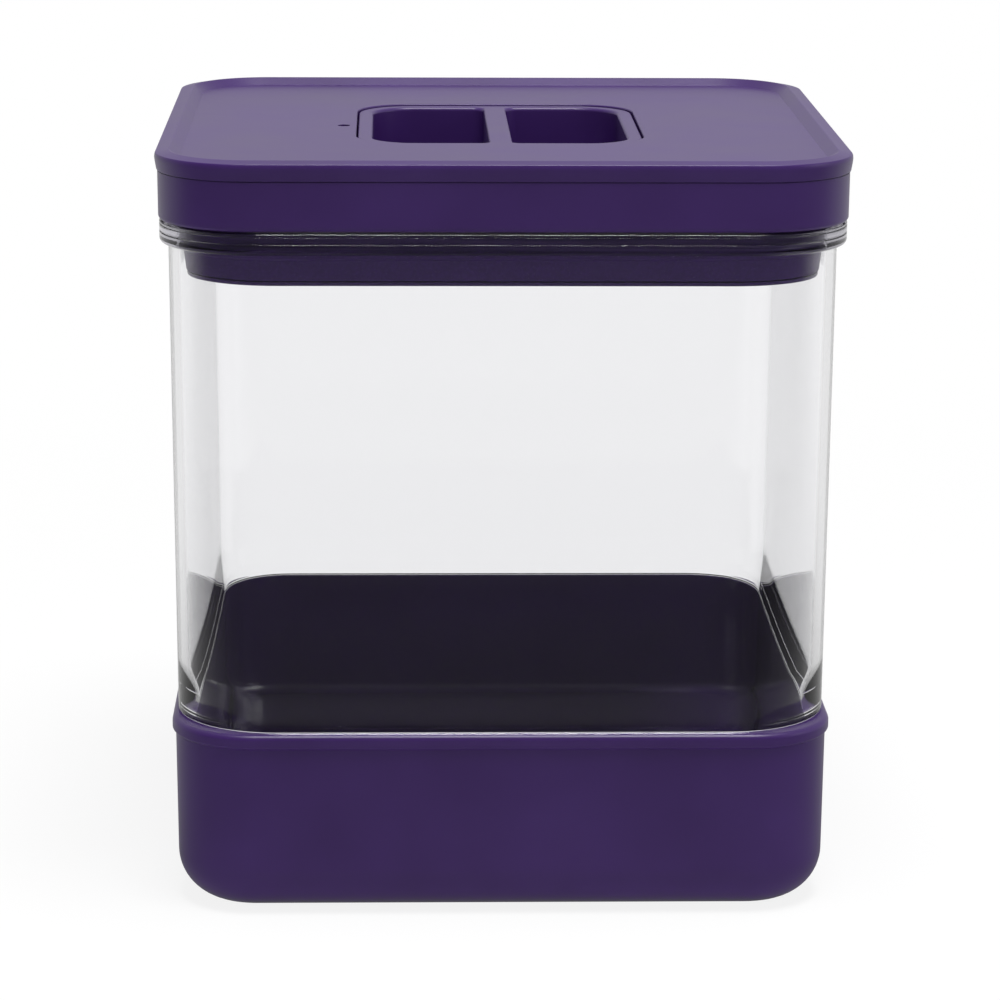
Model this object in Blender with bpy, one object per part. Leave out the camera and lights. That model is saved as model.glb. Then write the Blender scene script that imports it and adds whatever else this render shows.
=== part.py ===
# Square airtight food container with a push-button sealing lid.
#
# A clear jar stands in a coloured base boot. The lid drops a plug into the
# jar's mouth: an inner frame, a soft gasket and a sealing plate below it.
# Pushing the button down tips four rocker levers, whose short ends lift the
# plate and squeeze the gasket out against the jar wall. Two springs lift the
# button again when its push latch lets go. The model stands with the button
# pushed down and the gasket squeezed.
#
# Metres, +Z up. The origin is the centre of the face that the boot stands on.
# +X is the container's right, and -Y is its front.

import math

import bpy
import bmesh
from mathutils import Vector

MM = 0.001

# Plan of the lid's widest edge, from which every other wall is inset
LID_WIDTH = 180.0 * MM
LID_DEPTH = 180.0 * MM
CORNER_RADIUS = 25.0 * MM
WALL_CORNER_RADIUS = 31.0 * MM
SMALLEST_CORNER = 0.6 * MM

# Clearances
FIT = 0.3 * MM
OVERRUN = 2.0 * MM
ROOT = 0.8 * MM

# Base boot
BOOT_HEIGHT = 49.8 * MM
BOOT_FLOOR = 2.4 * MM
BOOT_WALL = 2.0 * MM
BOOT_INSET = 3.6 * MM
BOOT_DRAFT = 0.35 * MM
BOOT_FOOT_RADIUS = 13.0 * MM
BOOT_BEAD_HEIGHT = 3.9 * MM
BOOT_BEAD_PROUD = 0.9 * MM
BOOT_BEAD_RADIUS = 1.5 * MM

# Jar
JAR_HEIGHT = 179.3 * MM
JAR_INSET = 3.0 * MM
JAR_DRAFT = 1.04 * MM
JAR_WALL = 2.6 * MM
JAR_BASE_WALL = 2.2 * MM
JAR_FLOOR = 2.8 * MM
JAR_SWELL_HEIGHT = 14.0 * MM
JAR_EDGE = 0.4 * MM
COLLAR_INSET = 0.9 * MM
COLLAR_HEIGHT = 5.6 * MM
COLLAR_RADIUS = 1.3 * MM
COLLAR_GROOVE_DEPTH = 0.35 * MM
COLLAR_GROOVE_HEIGHT = 0.4 * MM
COLLAR_GROOVE_DROP = 0.4 * MM
COLLAR_GROOVE_PITCH = 1.9 * MM

# Lid cover
SKIRT_GAP = 0.6 * MM
SKIRT_HEIGHT = 12.9 * MM
SKIRT_INSET = 0.7 * MM
SKIRT_DRAFT = 0.1 * MM
SKIRT_RADIUS = 1.2 * MM
COVER_WALL = 2.0 * MM
BEAD_HEIGHT = 5.0 * MM
BEAD_RADIUS = 0.5 * MM
BEAD_TAPER = 0.45 * MM
BEAD_TAPER_SHARES = ((0.16, 0), (0.38, 0.2), (0.68, 0.6))
BEAD_FOOT_RADIUS = 0.2 * MM
RIM_WIDTH = 3.7 * MM
RIM_SLOPE_WIDTH = 2.8 * MM
RIM_SLOPE_SHARES = ((0, 1), (0.12, 0.97), (0.26, 0.84), (1, 0))
DECK_DROP = 2.0 * MM
VENT_DIAMETER = 3.4 * MM
VENT_MARGIN = 3.9 * MM
VENT_FORWARD = 5.0 * MM
COLLAR_WALL = 1.6 * MM
RIB_WIDTH = 1.4 * MM
RIB_HEIGHT = 3.0 * MM

# Button
BUTTON_WIDTH = 76.2 * MM
BUTTON_DEPTH = 80.2 * MM
BUTTON_RADIUS = 15.5 * MM
BUTTON_EDGE = 0.4 * MM
BUTTON_GAP = 0.4 * MM
BUTTON_RIM = 4.0 * MM
BUTTON_TRAVEL = 7.0 * MM
BUTTON_LEDGE = 1.5 * MM
BUTTON_FLANGE = 1.4 * MM
BUTTON_SKIRT = 3.6 * MM
WELL_DEPTH = 13.5 * MM
WELL_FLOOR = 1.8 * MM
WELL_LIP = 1.0 * MM
WELL_FLOOR_RADIUS = 3.0 * MM
WELL_BAR_RADIUS = 3.0 * MM
BAR_WIDTH = 6.2 * MM

# Rocker levers and their pins
LEVER_SPACING = 36.0 * MM
LEVER_WIDTH = 5.0 * MM
LEVER_THICKNESS = 2.4 * MM
LEVER_INNER_ARM = 20.0 * MM
LEVER_OUTER_ARM = 5.5 * MM
LEVER_HUB_MARGIN = 0.5 * MM
PIN_DIAMETER = 2.4 * MM
PIN_STICK_OUT = 0.5 * MM
PIN_CHAMFER = 0.3 * MM
EAR_THICKNESS = 1.8 * MM
EAR_CLEARANCE = 0.8 * MM

# Inner frame
LEDGE_THICKNESS = 1.8 * MM
PLUG_WALL = 1.8 * MM
PLUG_GAP = 0.6 * MM
PLUG_FILLET = 1.0 * MM
FRAME_FLOOR = 2.0 * MM
FRAME_CLEARANCE = 0.6 * MM
TONGUE_HEIGHT = 4.5 * MM
TONGUE_WALL = 1.6 * MM
TROUGH_WIDTH = 26.0 * MM
TROUGH_LENGTH = 66.0 * MM
TROUGH_DEPTH = 6.4 * MM
TROUGH_WALL = 1.7 * MM
TROUGH_RADIUS = 3.0 * MM

# Gasket
GASKET_HEIGHT = 7.6 * MM
GASKET_DEPTH = 4.6 * MM
GASKET_TAPER = 1.2 * MM
GASKET_LIP_PROUD = 1.0 * MM
GASKET_LIP_HEIGHT = 0.8 * MM
GASKET_LIP_SLOPE = 0.7 * MM
GASKET_EDGE = 0.4 * MM

# Sealing plate
PLATE_THICKNESS = 1.4 * MM
PLATE_EDGE = 0.5 * MM
SPIGOT_HEIGHT = 6.3 * MM
SPIGOT_WALL = 1.4 * MM
SPIGOT_GAP = 0.4 * MM
RISER_THICKNESS = 2.4 * MM
RISER_MARGIN = 1.8 * MM
RISER_CROWN = 1.6 * MM
RISER_RIB_HEIGHT = 3.0 * MM
RISER_WINDOW_GAP = 0.6 * MM

# Screws and the bosses that take them
SCREW_SPACING = 116.0 * MM
SCREW_SHANK_DIAMETER = 2.8 * MM
SCREW_LENGTH = 12.0 * MM
SCREW_HEAD_DIAMETER = 6.0 * MM
SCREW_HEAD_HEIGHT = 1.9 * MM
SCREW_POINT = 1.2 * MM
SCREW_HEAD_CROWN = 0.6 * MM
BOSS_WALL = 1.9 * MM

# Button springs
SPRING_SPACING = 48.0 * MM
SPRING_DIAMETER = 12.0 * MM
SPRING_WIRE = 1.0 * MM
SPRING_TURNS = 4.5
SPRING_SPIGOT_HEIGHT = 1.5 * MM

# Push latch
LATCH_WIDTH = 14.0 * MM
LATCH_DEPTH = 12.0 * MM
LATCH_EDGE = 0.6 * MM
LATCH_FLOOR = 0.9 * MM
BLADE_WIDTH = 6.4 * MM
BLADE_THICKNESS = 3.0 * MM
BLADE_FLANGE_WIDTH = 12.0 * MM
BLADE_FLANGE_DEPTH = 8.0 * MM
BLADE_FLANGE_THICKNESS = 1.2 * MM

# Facets
CORNER_STEPS = 7
ARC_STEPS = 4
FOOT_STEPS = 5
ROUND_STEPS = 16
WELL_CORNER_STEPS = 5
WIRE_STEPS = 10

# Heights, worked out from the boot upwards
HALF = 0.5
Z_JAR_BOTTOM = BOOT_FLOOR + FIT
Z_JAR_STEP = BOOT_HEIGHT + FIT
Z_RIM = Z_JAR_BOTTOM + JAR_HEIGHT
Z_COLLAR_BOTTOM = Z_RIM - COLLAR_HEIGHT
Z_SKIRT_BOTTOM = Z_RIM + SKIRT_GAP
Z_BEAD_BOTTOM = Z_SKIRT_BOTTOM + SKIRT_HEIGHT
Z_CREST = Z_BEAD_BOTTOM + BEAD_HEIGHT
Z_DECK = Z_CREST - DECK_DROP
Z_DECK_UNDER = Z_DECK - COVER_WALL

# Heights inside the lid, worked out from the deck downwards
Z_WELL_FLOOR = Z_DECK - WELL_DEPTH
Z_BUTTON_UNDER = Z_WELL_FLOOR - WELL_FLOOR
Z_BUTTON_BOTTOM = Z_BUTTON_UNDER - BUTTON_SKIRT
Z_FRAME_FLOOR = Z_BUTTON_BOTTOM - FRAME_CLEARANCE
Z_FRAME_UNDER = Z_FRAME_FLOOR - FRAME_FLOOR
Z_LEDGE = Z_RIM + FIT
Z_TROUGH_FLOOR = Z_FRAME_FLOOR - TROUGH_DEPTH
Z_GASKET_TOP = Z_FRAME_UNDER - FIT
Z_GASKET_BOTTOM = Z_GASKET_TOP - GASKET_HEIGHT
Z_PLATE = Z_GASKET_BOTTOM - FIT
Z_TIP = Z_BUTTON_BOTTOM + BUTTON_LEDGE + FIT + HALF * LEVER_THICKNESS
Z_PIVOT = Z_TIP + HALF * BUTTON_TRAVEL
Z_COLLAR = Z_PIVOT + HALF * BUTTON_TRAVEL + HALF * LEVER_THICKNESS + FIT
Z_FLANGE_TOP = Z_COLLAR - BUTTON_TRAVEL - FIT

# The levers swing evenly about level as the button travels
LEVER_TILT = math.asin(HALF * BUTTON_TRAVEL / LEVER_INNER_ARM)
FINGER_RISE = LEVER_OUTER_ARM * math.sin(LEVER_TILT)
Z_FINGER = Z_PIVOT + FINGER_RISE

# Insets from the lid's widest edge
BOOT_BORE_INSET = BOOT_INSET + BOOT_WALL
JAR_BASE_INSET = BOOT_BORE_INSET + FIT
JAR_FOOT_INSET = JAR_INSET + JAR_DRAFT
JAR_BORE_INSET = JAR_INSET + JAR_WALL
JAR_BASE_BORE_INSET = JAR_BASE_INSET + JAR_BASE_WALL
COVER_BORE_INSET = SKIRT_INSET + COVER_WALL
LEDGE_INSET = COVER_BORE_INSET + FIT
PLUG_INSET = JAR_BORE_INSET + PLUG_GAP
PLUG_BORE_INSET = PLUG_INSET + PLUG_WALL
LIP_INSET = JAR_BORE_INSET + FIT
GASKET_INSET = LIP_INSET + GASKET_LIP_PROUD
GASKET_FOOT_INSET = GASKET_INSET + GASKET_TAPER
PLATE_INSET = GASKET_FOOT_INSET + FIT
GASKET_BORE_INSET = GASKET_INSET + GASKET_DEPTH
TONGUE_INSET = GASKET_BORE_INSET + FIT
TONGUE_BORE_INSET = TONGUE_INSET + TONGUE_WALL
SPIGOT_INSET = TONGUE_BORE_INSET + SPIGOT_GAP
SPIGOT_BORE_INSET = SPIGOT_INSET + SPIGOT_WALL

# Places across the lid
X_TIP = HALF * BUTTON_WIDTH - HALF * BUTTON_RIM
X_PIVOT = X_TIP + LEVER_INNER_ARM
X_FINGER = X_PIVOT + LEVER_OUTER_ARM
PIN_BORE_DIAMETER = PIN_DIAMETER + 2 * FIT
EAR_HALF_WIDTH = LEVER_OUTER_ARM - HALF * RISER_THICKNESS - EAR_CLEARANCE
HUB_RADIUS = EAR_HALF_WIDTH - LEVER_HUB_MARGIN
SIDES = (-1, 1)


def srgb(red, green, blue):
    """Turn sRGB shares into the linear colour that a shader wants."""
    def linear(share):
        if share <= 0.04045:
            return share / 12.92
        return ((share + 0.055) / 1.055) ** 2.4
    return (linear(red), linear(green), linear(blue), 1.0)


def make_material(name, colour, roughness, metallic=0.0, transmission=0.0):
    """A Principled material with a plain colour."""
    material = bpy.data.materials.new(name)
    material.use_nodes = True
    shader = material.node_tree.nodes["Principled BSDF"]
    shader.inputs["Base Color"].default_value = colour
    shader.inputs["Roughness"].default_value = roughness
    shader.inputs["Metallic"].default_value = metallic
    shader.inputs["Transmission Weight"].default_value = transmission
    material.diffuse_color = colour
    return material


def rounded_corners(corners, radii, steps):
    """Points of a rectangle's outline, each corner rounded by its own radius."""
    points = []
    for index, ((x, y), radius) in enumerate(zip(corners, radii)):
        turn = index * math.pi / 2
        toward_x = 1 if index in (0, 3) else -1
        toward_y = 1 if index in (0, 1) else -1
        centre_x = x - toward_x * radius
        centre_y = y - toward_y * radius
        for step in range(steps + 1):
            angle = turn + math.pi / 2 * step / steps
            points.append((centre_x + radius * math.cos(angle),
                           centre_y + radius * math.sin(angle)))
    return points


def rounded_rectangle(half_x, half_y, radius, steps=CORNER_STEPS):
    """Points of a rounded rectangle about the origin, anticlockwise."""
    corners = [(half_x, half_y), (-half_x, half_y), (-half_x, -half_y), (half_x, -half_y)]
    return rounded_corners(corners, [radius] * len(corners), steps)


def arc(inset, height, radius, start, end, steps=ARC_STEPS):
    """Points (inset, height) round a centre; 0 degrees faces out and 90 faces up."""
    points = []
    for step in range(steps + 1):
        angle = math.radians(start + (end - start) * step / steps)
        points.append((inset - radius * math.cos(angle), height + radius * math.sin(angle)))
    return points


def bridge(bm, lower, upper):
    """Join two rings of as many vertices with a band of quads."""
    count = len(lower)
    for index in range(count):
        after = (index + 1) % count
        bm.faces.new((lower[index], lower[after], upper[after], upper[index]))


def add_loft(bm, sections, closed=False):
    """Skin a run of outlines (points, height); the ends are capped or joined."""
    rings = []
    for points, height in sections:
        rings.append([bm.verts.new((x, y, height)) for x, y in points])
    for lower, upper in zip(rings, rings[1:]):
        bridge(bm, lower, upper)
    if closed:
        bridge(bm, rings[-1], rings[0])
    else:
        bm.faces.new(rings[0])
        bm.faces.new(rings[-1])


def swept_plan(profile, half_x, half_y, radius):
    """Outlines of a profile (inset, height) carried round a rounded rectangle."""
    sections = []
    for inset, height in profile:
        corner = max(radius - inset, SMALLEST_CORNER)
        sections.append((rounded_rectangle(half_x - inset, half_y - inset, corner), height))
    return sections


def add_body_sweep(bm, runs, closed=False):
    """Carry runs of a profile round the lid's plan, each run with its own corner radius."""
    sections = []
    for radius, profile in runs:
        sections += swept_plan(profile, HALF * LID_WIDTH, HALF * LID_DEPTH, radius)
    add_loft(bm, sections, closed)


def add_box(bm, low, high):
    """A box between two corners."""
    points = [(high[0], high[1]), (low[0], high[1]), (low[0], low[1]), (high[0], low[1])]
    add_loft(bm, [(points, low[2]), (points, high[2])])


def circle(radius, centre=(0, 0), steps=ROUND_STEPS):
    """Points of a circle."""
    points = []
    for step in range(steps):
        angle = 2 * math.pi * step / steps
        points.append((centre[0] + radius * math.cos(angle), centre[1] + radius * math.sin(angle)))
    return points


def add_turned(bm, profile, centre=(0, 0)):
    """An upright turned solid from a profile (radius, height), capped at its ends."""
    add_loft(bm, [(circle(radius, centre), height) for radius, height in profile])


def add_plate(bm, outlines, near, far):
    """A plate in the XZ plane with holes, from outlines (x, z), between two Y places."""
    edges = []
    for outline in outlines:
        ring = [bm.verts.new((x, near, z)) for x, z in outline]
        edges += [bm.edges.new((a, b)) for a, b in zip(ring, ring[1:] + ring[:1])]
    filled = bmesh.ops.triangle_fill(bm, use_beauty=True, edges=edges)
    faces = [item for item in filled["geom"] if isinstance(item, bmesh.types.BMFace)]
    grown = bmesh.ops.extrude_face_region(bm, geom=faces, use_keep_orig=True)
    moved = [item for item in grown["geom"] if isinstance(item, bmesh.types.BMVert)]
    bmesh.ops.translate(bm, verts=moved, vec=(0, far - near, 0))


def world_of(parent):
    """Where an empty stands, its own parents included."""
    place = Vector((0, 0, 0))
    while parent:
        place += parent.location
        parent = parent.parent
    return place


def finish(bm, name, material, origin=(0, 0, 0), parent=None):
    """Turn a mesh drawn in the container's frame into an object with its own origin."""
    bmesh.ops.recalc_face_normals(bm, faces=bm.faces)
    bmesh.ops.translate(bm, verts=bm.verts, vec=-Vector(origin))
    mesh = bpy.data.meshes.new(name)
    bm.to_mesh(mesh)
    bm.free()
    mesh.shade_smooth()
    mesh.set_sharp_from_angle(angle=math.radians(30))
    if material:
        mesh.materials.append(material)
    piece = bpy.data.objects.new(name, mesh)
    bpy.context.collection.objects.link(piece)
    piece.parent = parent
    piece.location = Vector(origin) - world_of(parent)
    return piece


def add_empty(name, place, parent=None):
    """An empty that a moving group of pieces hangs on."""
    empty = bpy.data.objects.new(name, None)
    bpy.context.collection.objects.link(empty)
    empty.parent = parent
    empty.location = Vector(place) - world_of(parent)
    return empty


def combine(piece, bm, name, operation):
    """Add a Boolean to a piece, with its other shape kept as a hidden guide."""
    guide = finish(bm, name, None)
    guide.hide_render = True
    guide.display_type = "WIRE"
    step = piece.modifiers.new(name, "BOOLEAN")
    step.operation = operation
    step.solver = "EXACT"
    step.object = guide


def lever_places():
    """Name, side in X and place in Y of each of the four rocker levers."""
    places = []
    for row, toward_y in (("front", -1), ("rear", 1)):
        for hand, toward_x in (("left", -1), ("right", 1)):
            places.append((f"{row}_{hand}", toward_x, toward_y * HALF * LEVER_SPACING))
    return places


def screw_places():
    """Name and centre of each of the four screws."""
    places = []
    for row, toward_y in (("front", -1), ("rear", 1)):
        for hand, toward_x in (("left", -1), ("right", 1)):
            centre = (toward_x * HALF * SCREW_SPACING, toward_y * HALF * SCREW_SPACING)
            places.append((f"{row}_{hand}", centre))
    return places


def spring_places():
    """Name and centre of each of the two button springs."""
    return [("front", (0, -HALF * SPRING_SPACING)), ("rear", (0, HALF * SPRING_SPACING))]


def build_boot(material):
    """The coloured cup that the jar stands in, with a rounded foot and a top bead."""
    foot_inset = BOOT_INSET + BOOT_DRAFT
    bead_inset = BOOT_INSET - BOOT_BEAD_PROUD
    bead_bottom = BOOT_HEIGHT - BOOT_BEAD_HEIGHT
    inner_foot = BOOT_FOOT_RADIUS - BOOT_WALL
    bore_foot_inset = foot_inset + BOOT_WALL
    profile = arc(foot_inset + BOOT_FOOT_RADIUS, BOOT_FOOT_RADIUS, BOOT_FOOT_RADIUS, -90, 0, FOOT_STEPS)
    profile += arc(BOOT_INSET, bead_bottom + BOOT_BEAD_PROUD, BOOT_BEAD_PROUD, -90, 0)
    profile += arc(bead_inset + BOOT_BEAD_RADIUS, BOOT_HEIGHT - BOOT_BEAD_RADIUS, BOOT_BEAD_RADIUS, 0, 90)
    bore = [(BOOT_BORE_INSET, BOOT_HEIGHT)]
    bore += arc(bore_foot_inset + inner_foot, BOOT_FLOOR + inner_foot, inner_foot, 0, -90, FOOT_STEPS)
    bm = bmesh.new()
    add_body_sweep(bm, [(CORNER_RADIUS, profile), (WALL_CORNER_RADIUS, bore)])
    return finish(bm, "base_boot", material)


def build_jar(material):
    """The clear jar: a stepped collar, drafted walls and a foot that enters the boot."""
    foot = BOOT_FOOT_RADIUS - BOOT_WALL - FIT
    foot_inset = JAR_BASE_INSET + BOOT_DRAFT
    inner_foot = foot - HALF * JAR_BASE_WALL
    floor = Z_JAR_BOTTOM + JAR_FLOOR
    bore_low_inset = JAR_FOOT_INSET + JAR_WALL
    bore_foot_inset = foot_inset + JAR_BASE_WALL

    wall = arc(foot_inset + foot, Z_JAR_BOTTOM + foot, foot, -90, 0, FOOT_STEPS)
    wall.append((JAR_BASE_INSET, Z_JAR_STEP))
    wall.append((JAR_FOOT_INSET + JAR_EDGE, Z_JAR_STEP))
    wall.append((JAR_FOOT_INSET, Z_JAR_STEP + JAR_EDGE))
    wall.append((JAR_INSET, Z_COLLAR_BOTTOM))

    collar = arc(COLLAR_INSET + COLLAR_RADIUS, Z_COLLAR_BOTTOM + COLLAR_RADIUS, COLLAR_RADIUS, -90, 0)
    groove_tops = [Z_RIM - COLLAR_GROOVE_DROP - COLLAR_GROOVE_PITCH, Z_RIM - COLLAR_GROOVE_DROP]
    for top in groove_tops:
        bottom = top - COLLAR_GROOVE_HEIGHT
        collar.append((COLLAR_INSET, bottom))
        collar.append((COLLAR_INSET + COLLAR_GROOVE_DEPTH, bottom))
        collar.append((COLLAR_INSET + COLLAR_GROOVE_DEPTH, top))
        collar.append((COLLAR_INSET, top))
    collar.append((COLLAR_INSET, Z_RIM - HALF * JAR_EDGE))
    collar.append((COLLAR_INSET + HALF * JAR_EDGE, Z_RIM))

    bore = [(JAR_BORE_INSET - JAR_EDGE, Z_RIM), (JAR_BORE_INSET, Z_RIM - JAR_EDGE)]
    swell_top = Z_JAR_STEP + JAR_SWELL_HEIGHT
    swell_steps = 5
    for step in range(swell_steps + 1):
        share = step / swell_steps
        ease = share * share * (3 - 2 * share)
        inset = bore_low_inset + (JAR_BASE_BORE_INSET - bore_low_inset) * ease
        bore.append((inset, swell_top - share * JAR_SWELL_HEIGHT))
    bore += arc(bore_foot_inset + inner_foot, floor + inner_foot, inner_foot, 0, -90, FOOT_STEPS)

    bm = bmesh.new()
    add_body_sweep(bm, [(WALL_CORNER_RADIUS, wall), (CORNER_RADIUS, collar), (WALL_CORNER_RADIUS, bore)])
    return finish(bm, "jar", material)


def build_cover(material, parent):
    """The lid's outer cover: raised rim, sunk deck, skirt, and bosses and ribs inside."""
    skirt_foot = SKIRT_INSET + SKIRT_DRAFT
    profile = []
    for across, up in reversed(RIM_SLOPE_SHARES):
        profile.append((RIM_WIDTH + across * RIM_SLOPE_WIDTH, Z_DECK + up * DECK_DROP))
    profile += arc(BEAD_RADIUS, Z_CREST - BEAD_RADIUS, BEAD_RADIUS, 90, 0)
    face_height = BEAD_HEIGHT - BEAD_RADIUS - BEAD_FOOT_RADIUS
    for down, inward in BEAD_TAPER_SHARES:
        profile.append((inward * BEAD_TAPER, Z_CREST - BEAD_RADIUS - down * face_height))
    profile += arc(BEAD_TAPER + BEAD_FOOT_RADIUS, Z_BEAD_BOTTOM + BEAD_FOOT_RADIUS, BEAD_FOOT_RADIUS, 0, -90)
    profile.append((SKIRT_INSET, Z_BEAD_BOTTOM))
    profile += arc(skirt_foot + SKIRT_RADIUS, Z_SKIRT_BOTTOM + SKIRT_RADIUS, SKIRT_RADIUS, 0, -90)
    profile.append((COVER_BORE_INSET, Z_SKIRT_BOTTOM))
    profile.append((COVER_BORE_INSET, Z_DECK_UNDER))
    bm = bmesh.new()
    add_body_sweep(bm, [(CORNER_RADIUS, profile)])
    cover = finish(bm, "lid_cover", material, (0, 0, Z_RIM), parent)

    inside_x = HALF * BUTTON_WIDTH + BUTTON_GAP
    inside_y = HALF * BUTTON_DEPTH + BUTTON_GAP
    inside_radius = BUTTON_RADIUS + BUTTON_GAP
    inside = rounded_rectangle(inside_x, inside_y, inside_radius)
    outside = rounded_rectangle(inside_x + COLLAR_WALL, inside_y + COLLAR_WALL, inside_radius + COLLAR_WALL)
    bm = bmesh.new()
    add_loft(bm, [(outside, Z_COLLAR), (outside, Z_DECK_UNDER + ROOT)])
    boss_radius = HALF * SCREW_SHANK_DIAMETER + FIT + BOSS_WALL
    for _, centre in screw_places():
        add_turned(bm, [(boss_radius, Z_FRAME_FLOOR + FIT), (boss_radius, Z_DECK_UNDER + ROOT)], centre)
    combine(cover, bm, "cover_bosses", "UNION")

    bm = bmesh.new()
    reach = HALF * SCREW_SPACING
    for toward in SIDES:
        low_x = min(toward * inside_x, toward * (HALF * LID_WIDTH - COVER_BORE_INSET + ROOT))
        high_x = max(toward * inside_x, toward * (HALF * LID_WIDTH - COVER_BORE_INSET + ROOT))
        add_box(bm, (low_x, -HALF * RIB_WIDTH, Z_DECK_UNDER - RIB_HEIGHT),
                (high_x, HALF * RIB_WIDTH, Z_DECK_UNDER + ROOT))
        middle_y = toward * reach
        add_box(bm, (-reach, middle_y - HALF * RIB_WIDTH, Z_DECK_UNDER - RIB_HEIGHT),
                (reach, middle_y + HALF * RIB_WIDTH, Z_DECK_UNDER + ROOT))
    combine(cover, bm, "cover_ribs", "UNION")

    bm = bmesh.new()
    add_loft(bm, [(inside, Z_COLLAR - OVERRUN), (inside, Z_CREST + OVERRUN)])
    vent_radius = HALF * VENT_DIAMETER
    vent_centre = (-(HALF * BUTTON_WIDTH + VENT_MARGIN), -VENT_FORWARD)
    add_turned(bm, [(vent_radius, Z_DECK_UNDER - OVERRUN), (vent_radius, Z_CREST + OVERRUN)], vent_centre)
    bore_radius = HALF * SCREW_SHANK_DIAMETER + FIT
    bore_top = Z_FRAME_UNDER + SCREW_LENGTH + FIT
    for _, centre in screw_places():
        add_turned(bm, [(bore_radius, Z_FRAME_UNDER), (bore_radius, bore_top)], centre)
    combine(cover, bm, "cover_openings", "DIFFERENCE")
    return cover


def ear_outline(centre_x):
    """Side view of one hinge ear, round at the top, standing on the frame's floor."""
    foot = Z_FRAME_FLOOR - ROOT
    points = [(centre_x - EAR_HALF_WIDTH, foot), (centre_x + EAR_HALF_WIDTH, foot)]
    steps = 2 * ARC_STEPS
    for step in range(steps + 1):
        angle = math.pi * step / steps
        points.append((centre_x + EAR_HALF_WIDTH * math.cos(angle),
                       Z_PIVOT + EAR_HALF_WIDTH * math.sin(angle)))
    return points


def build_frame(material, parent):
    """The inner frame: ledge, plug wall, floor, tongue, spring trough and hinge ears."""
    inside = [
        (PLUG_BORE_INSET + PLUG_FILLET, Z_FRAME_FLOOR),
        (PLUG_BORE_INSET, Z_FRAME_FLOOR + PLUG_FILLET),
        (PLUG_BORE_INSET, Z_LEDGE + LEDGE_THICKNESS),
    ]
    ledge = [(LEDGE_INSET, Z_LEDGE + LEDGE_THICKNESS), (LEDGE_INSET, Z_LEDGE)]
    plug = [
        (PLUG_INSET, Z_LEDGE),
        (PLUG_INSET, Z_FRAME_UNDER),
        (TONGUE_INSET, Z_FRAME_UNDER),
        (TONGUE_INSET, Z_FRAME_UNDER - TONGUE_HEIGHT),
        (TONGUE_BORE_INSET, Z_FRAME_UNDER - TONGUE_HEIGHT),
        (TONGUE_BORE_INSET, Z_FRAME_UNDER),
    ]
    bm = bmesh.new()
    add_body_sweep(bm, [(WALL_CORNER_RADIUS, inside), (CORNER_RADIUS, ledge), (WALL_CORNER_RADIUS, plug)])
    frame = finish(bm, "lid_frame", material, (0, 0, Z_RIM), parent)

    bm = bmesh.new()
    half_x = HALF * TROUGH_WIDTH
    half_y = HALF * TROUGH_LENGTH
    shell_radius = TROUGH_RADIUS + TROUGH_WALL
    shell = rounded_rectangle(half_x + TROUGH_WALL, half_y + TROUGH_WALL, shell_radius, ARC_STEPS)
    add_loft(bm, [(shell, Z_TROUGH_FLOOR - TROUGH_WALL), (shell, Z_FRAME_FLOOR - HALF * FRAME_FLOOR)])
    combine(frame, bm, "frame_trough", "UNION")

    bm = bmesh.new()
    for _, toward_x, middle_y in lever_places():
        centre_x = toward_x * X_PIVOT
        bore = circle(HALF * PIN_BORE_DIAMETER, (centre_x, Z_PIVOT))
        for toward_y in SIDES:
            near = middle_y + toward_y * (HALF * LEVER_WIDTH + FIT)
            far = near + toward_y * EAR_THICKNESS
            add_plate(bm, [ear_outline(centre_x), bore], near, far)
    combine(frame, bm, "frame_ears", "UNION")

    bm = bmesh.new()
    hollow = rounded_rectangle(half_x, half_y, TROUGH_RADIUS, ARC_STEPS)
    add_loft(bm, [(hollow, Z_TROUGH_FLOOR), (hollow, Z_FRAME_FLOOR + OVERRUN)])
    window_x = HALF * RISER_THICKNESS + RISER_WINDOW_GAP
    window_y = HALF * LEVER_WIDTH + FIT + RISER_MARGIN + RISER_WINDOW_GAP
    for _, toward_x, middle_y in lever_places():
        centre_x = toward_x * X_FINGER
        add_box(bm, (centre_x - window_x, middle_y - window_y, Z_FRAME_UNDER - OVERRUN),
                (centre_x + window_x, middle_y + window_y, Z_FRAME_FLOOR + OVERRUN))
    hole_radius = HALF * SCREW_SHANK_DIAMETER + FIT
    hole_bottom = Z_FRAME_UNDER - OVERRUN
    hole_top = Z_FRAME_FLOOR + OVERRUN
    for _, centre in screw_places():
        add_turned(bm, [(hole_radius, hole_bottom), (hole_radius, hole_top)], centre)
    combine(frame, bm, "frame_openings", "DIFFERENCE")

    bm = bmesh.new()
    for _, centre in spring_places():
        add_spring_spigot(bm, centre, Z_TROUGH_FLOOR - ROOT, Z_TROUGH_FLOOR + SPRING_SPIGOT_HEIGHT)
    combine(frame, bm, "frame_spigots", "UNION")
    return frame


def add_spring_spigot(bm, centre, low, high):
    """A short stud that keeps a spring's end in its place."""
    radius = HALF * SPRING_DIAMETER - SPRING_WIRE - 2 * FIT
    add_turned(bm, [(radius, low), (radius, high)], centre)


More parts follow.
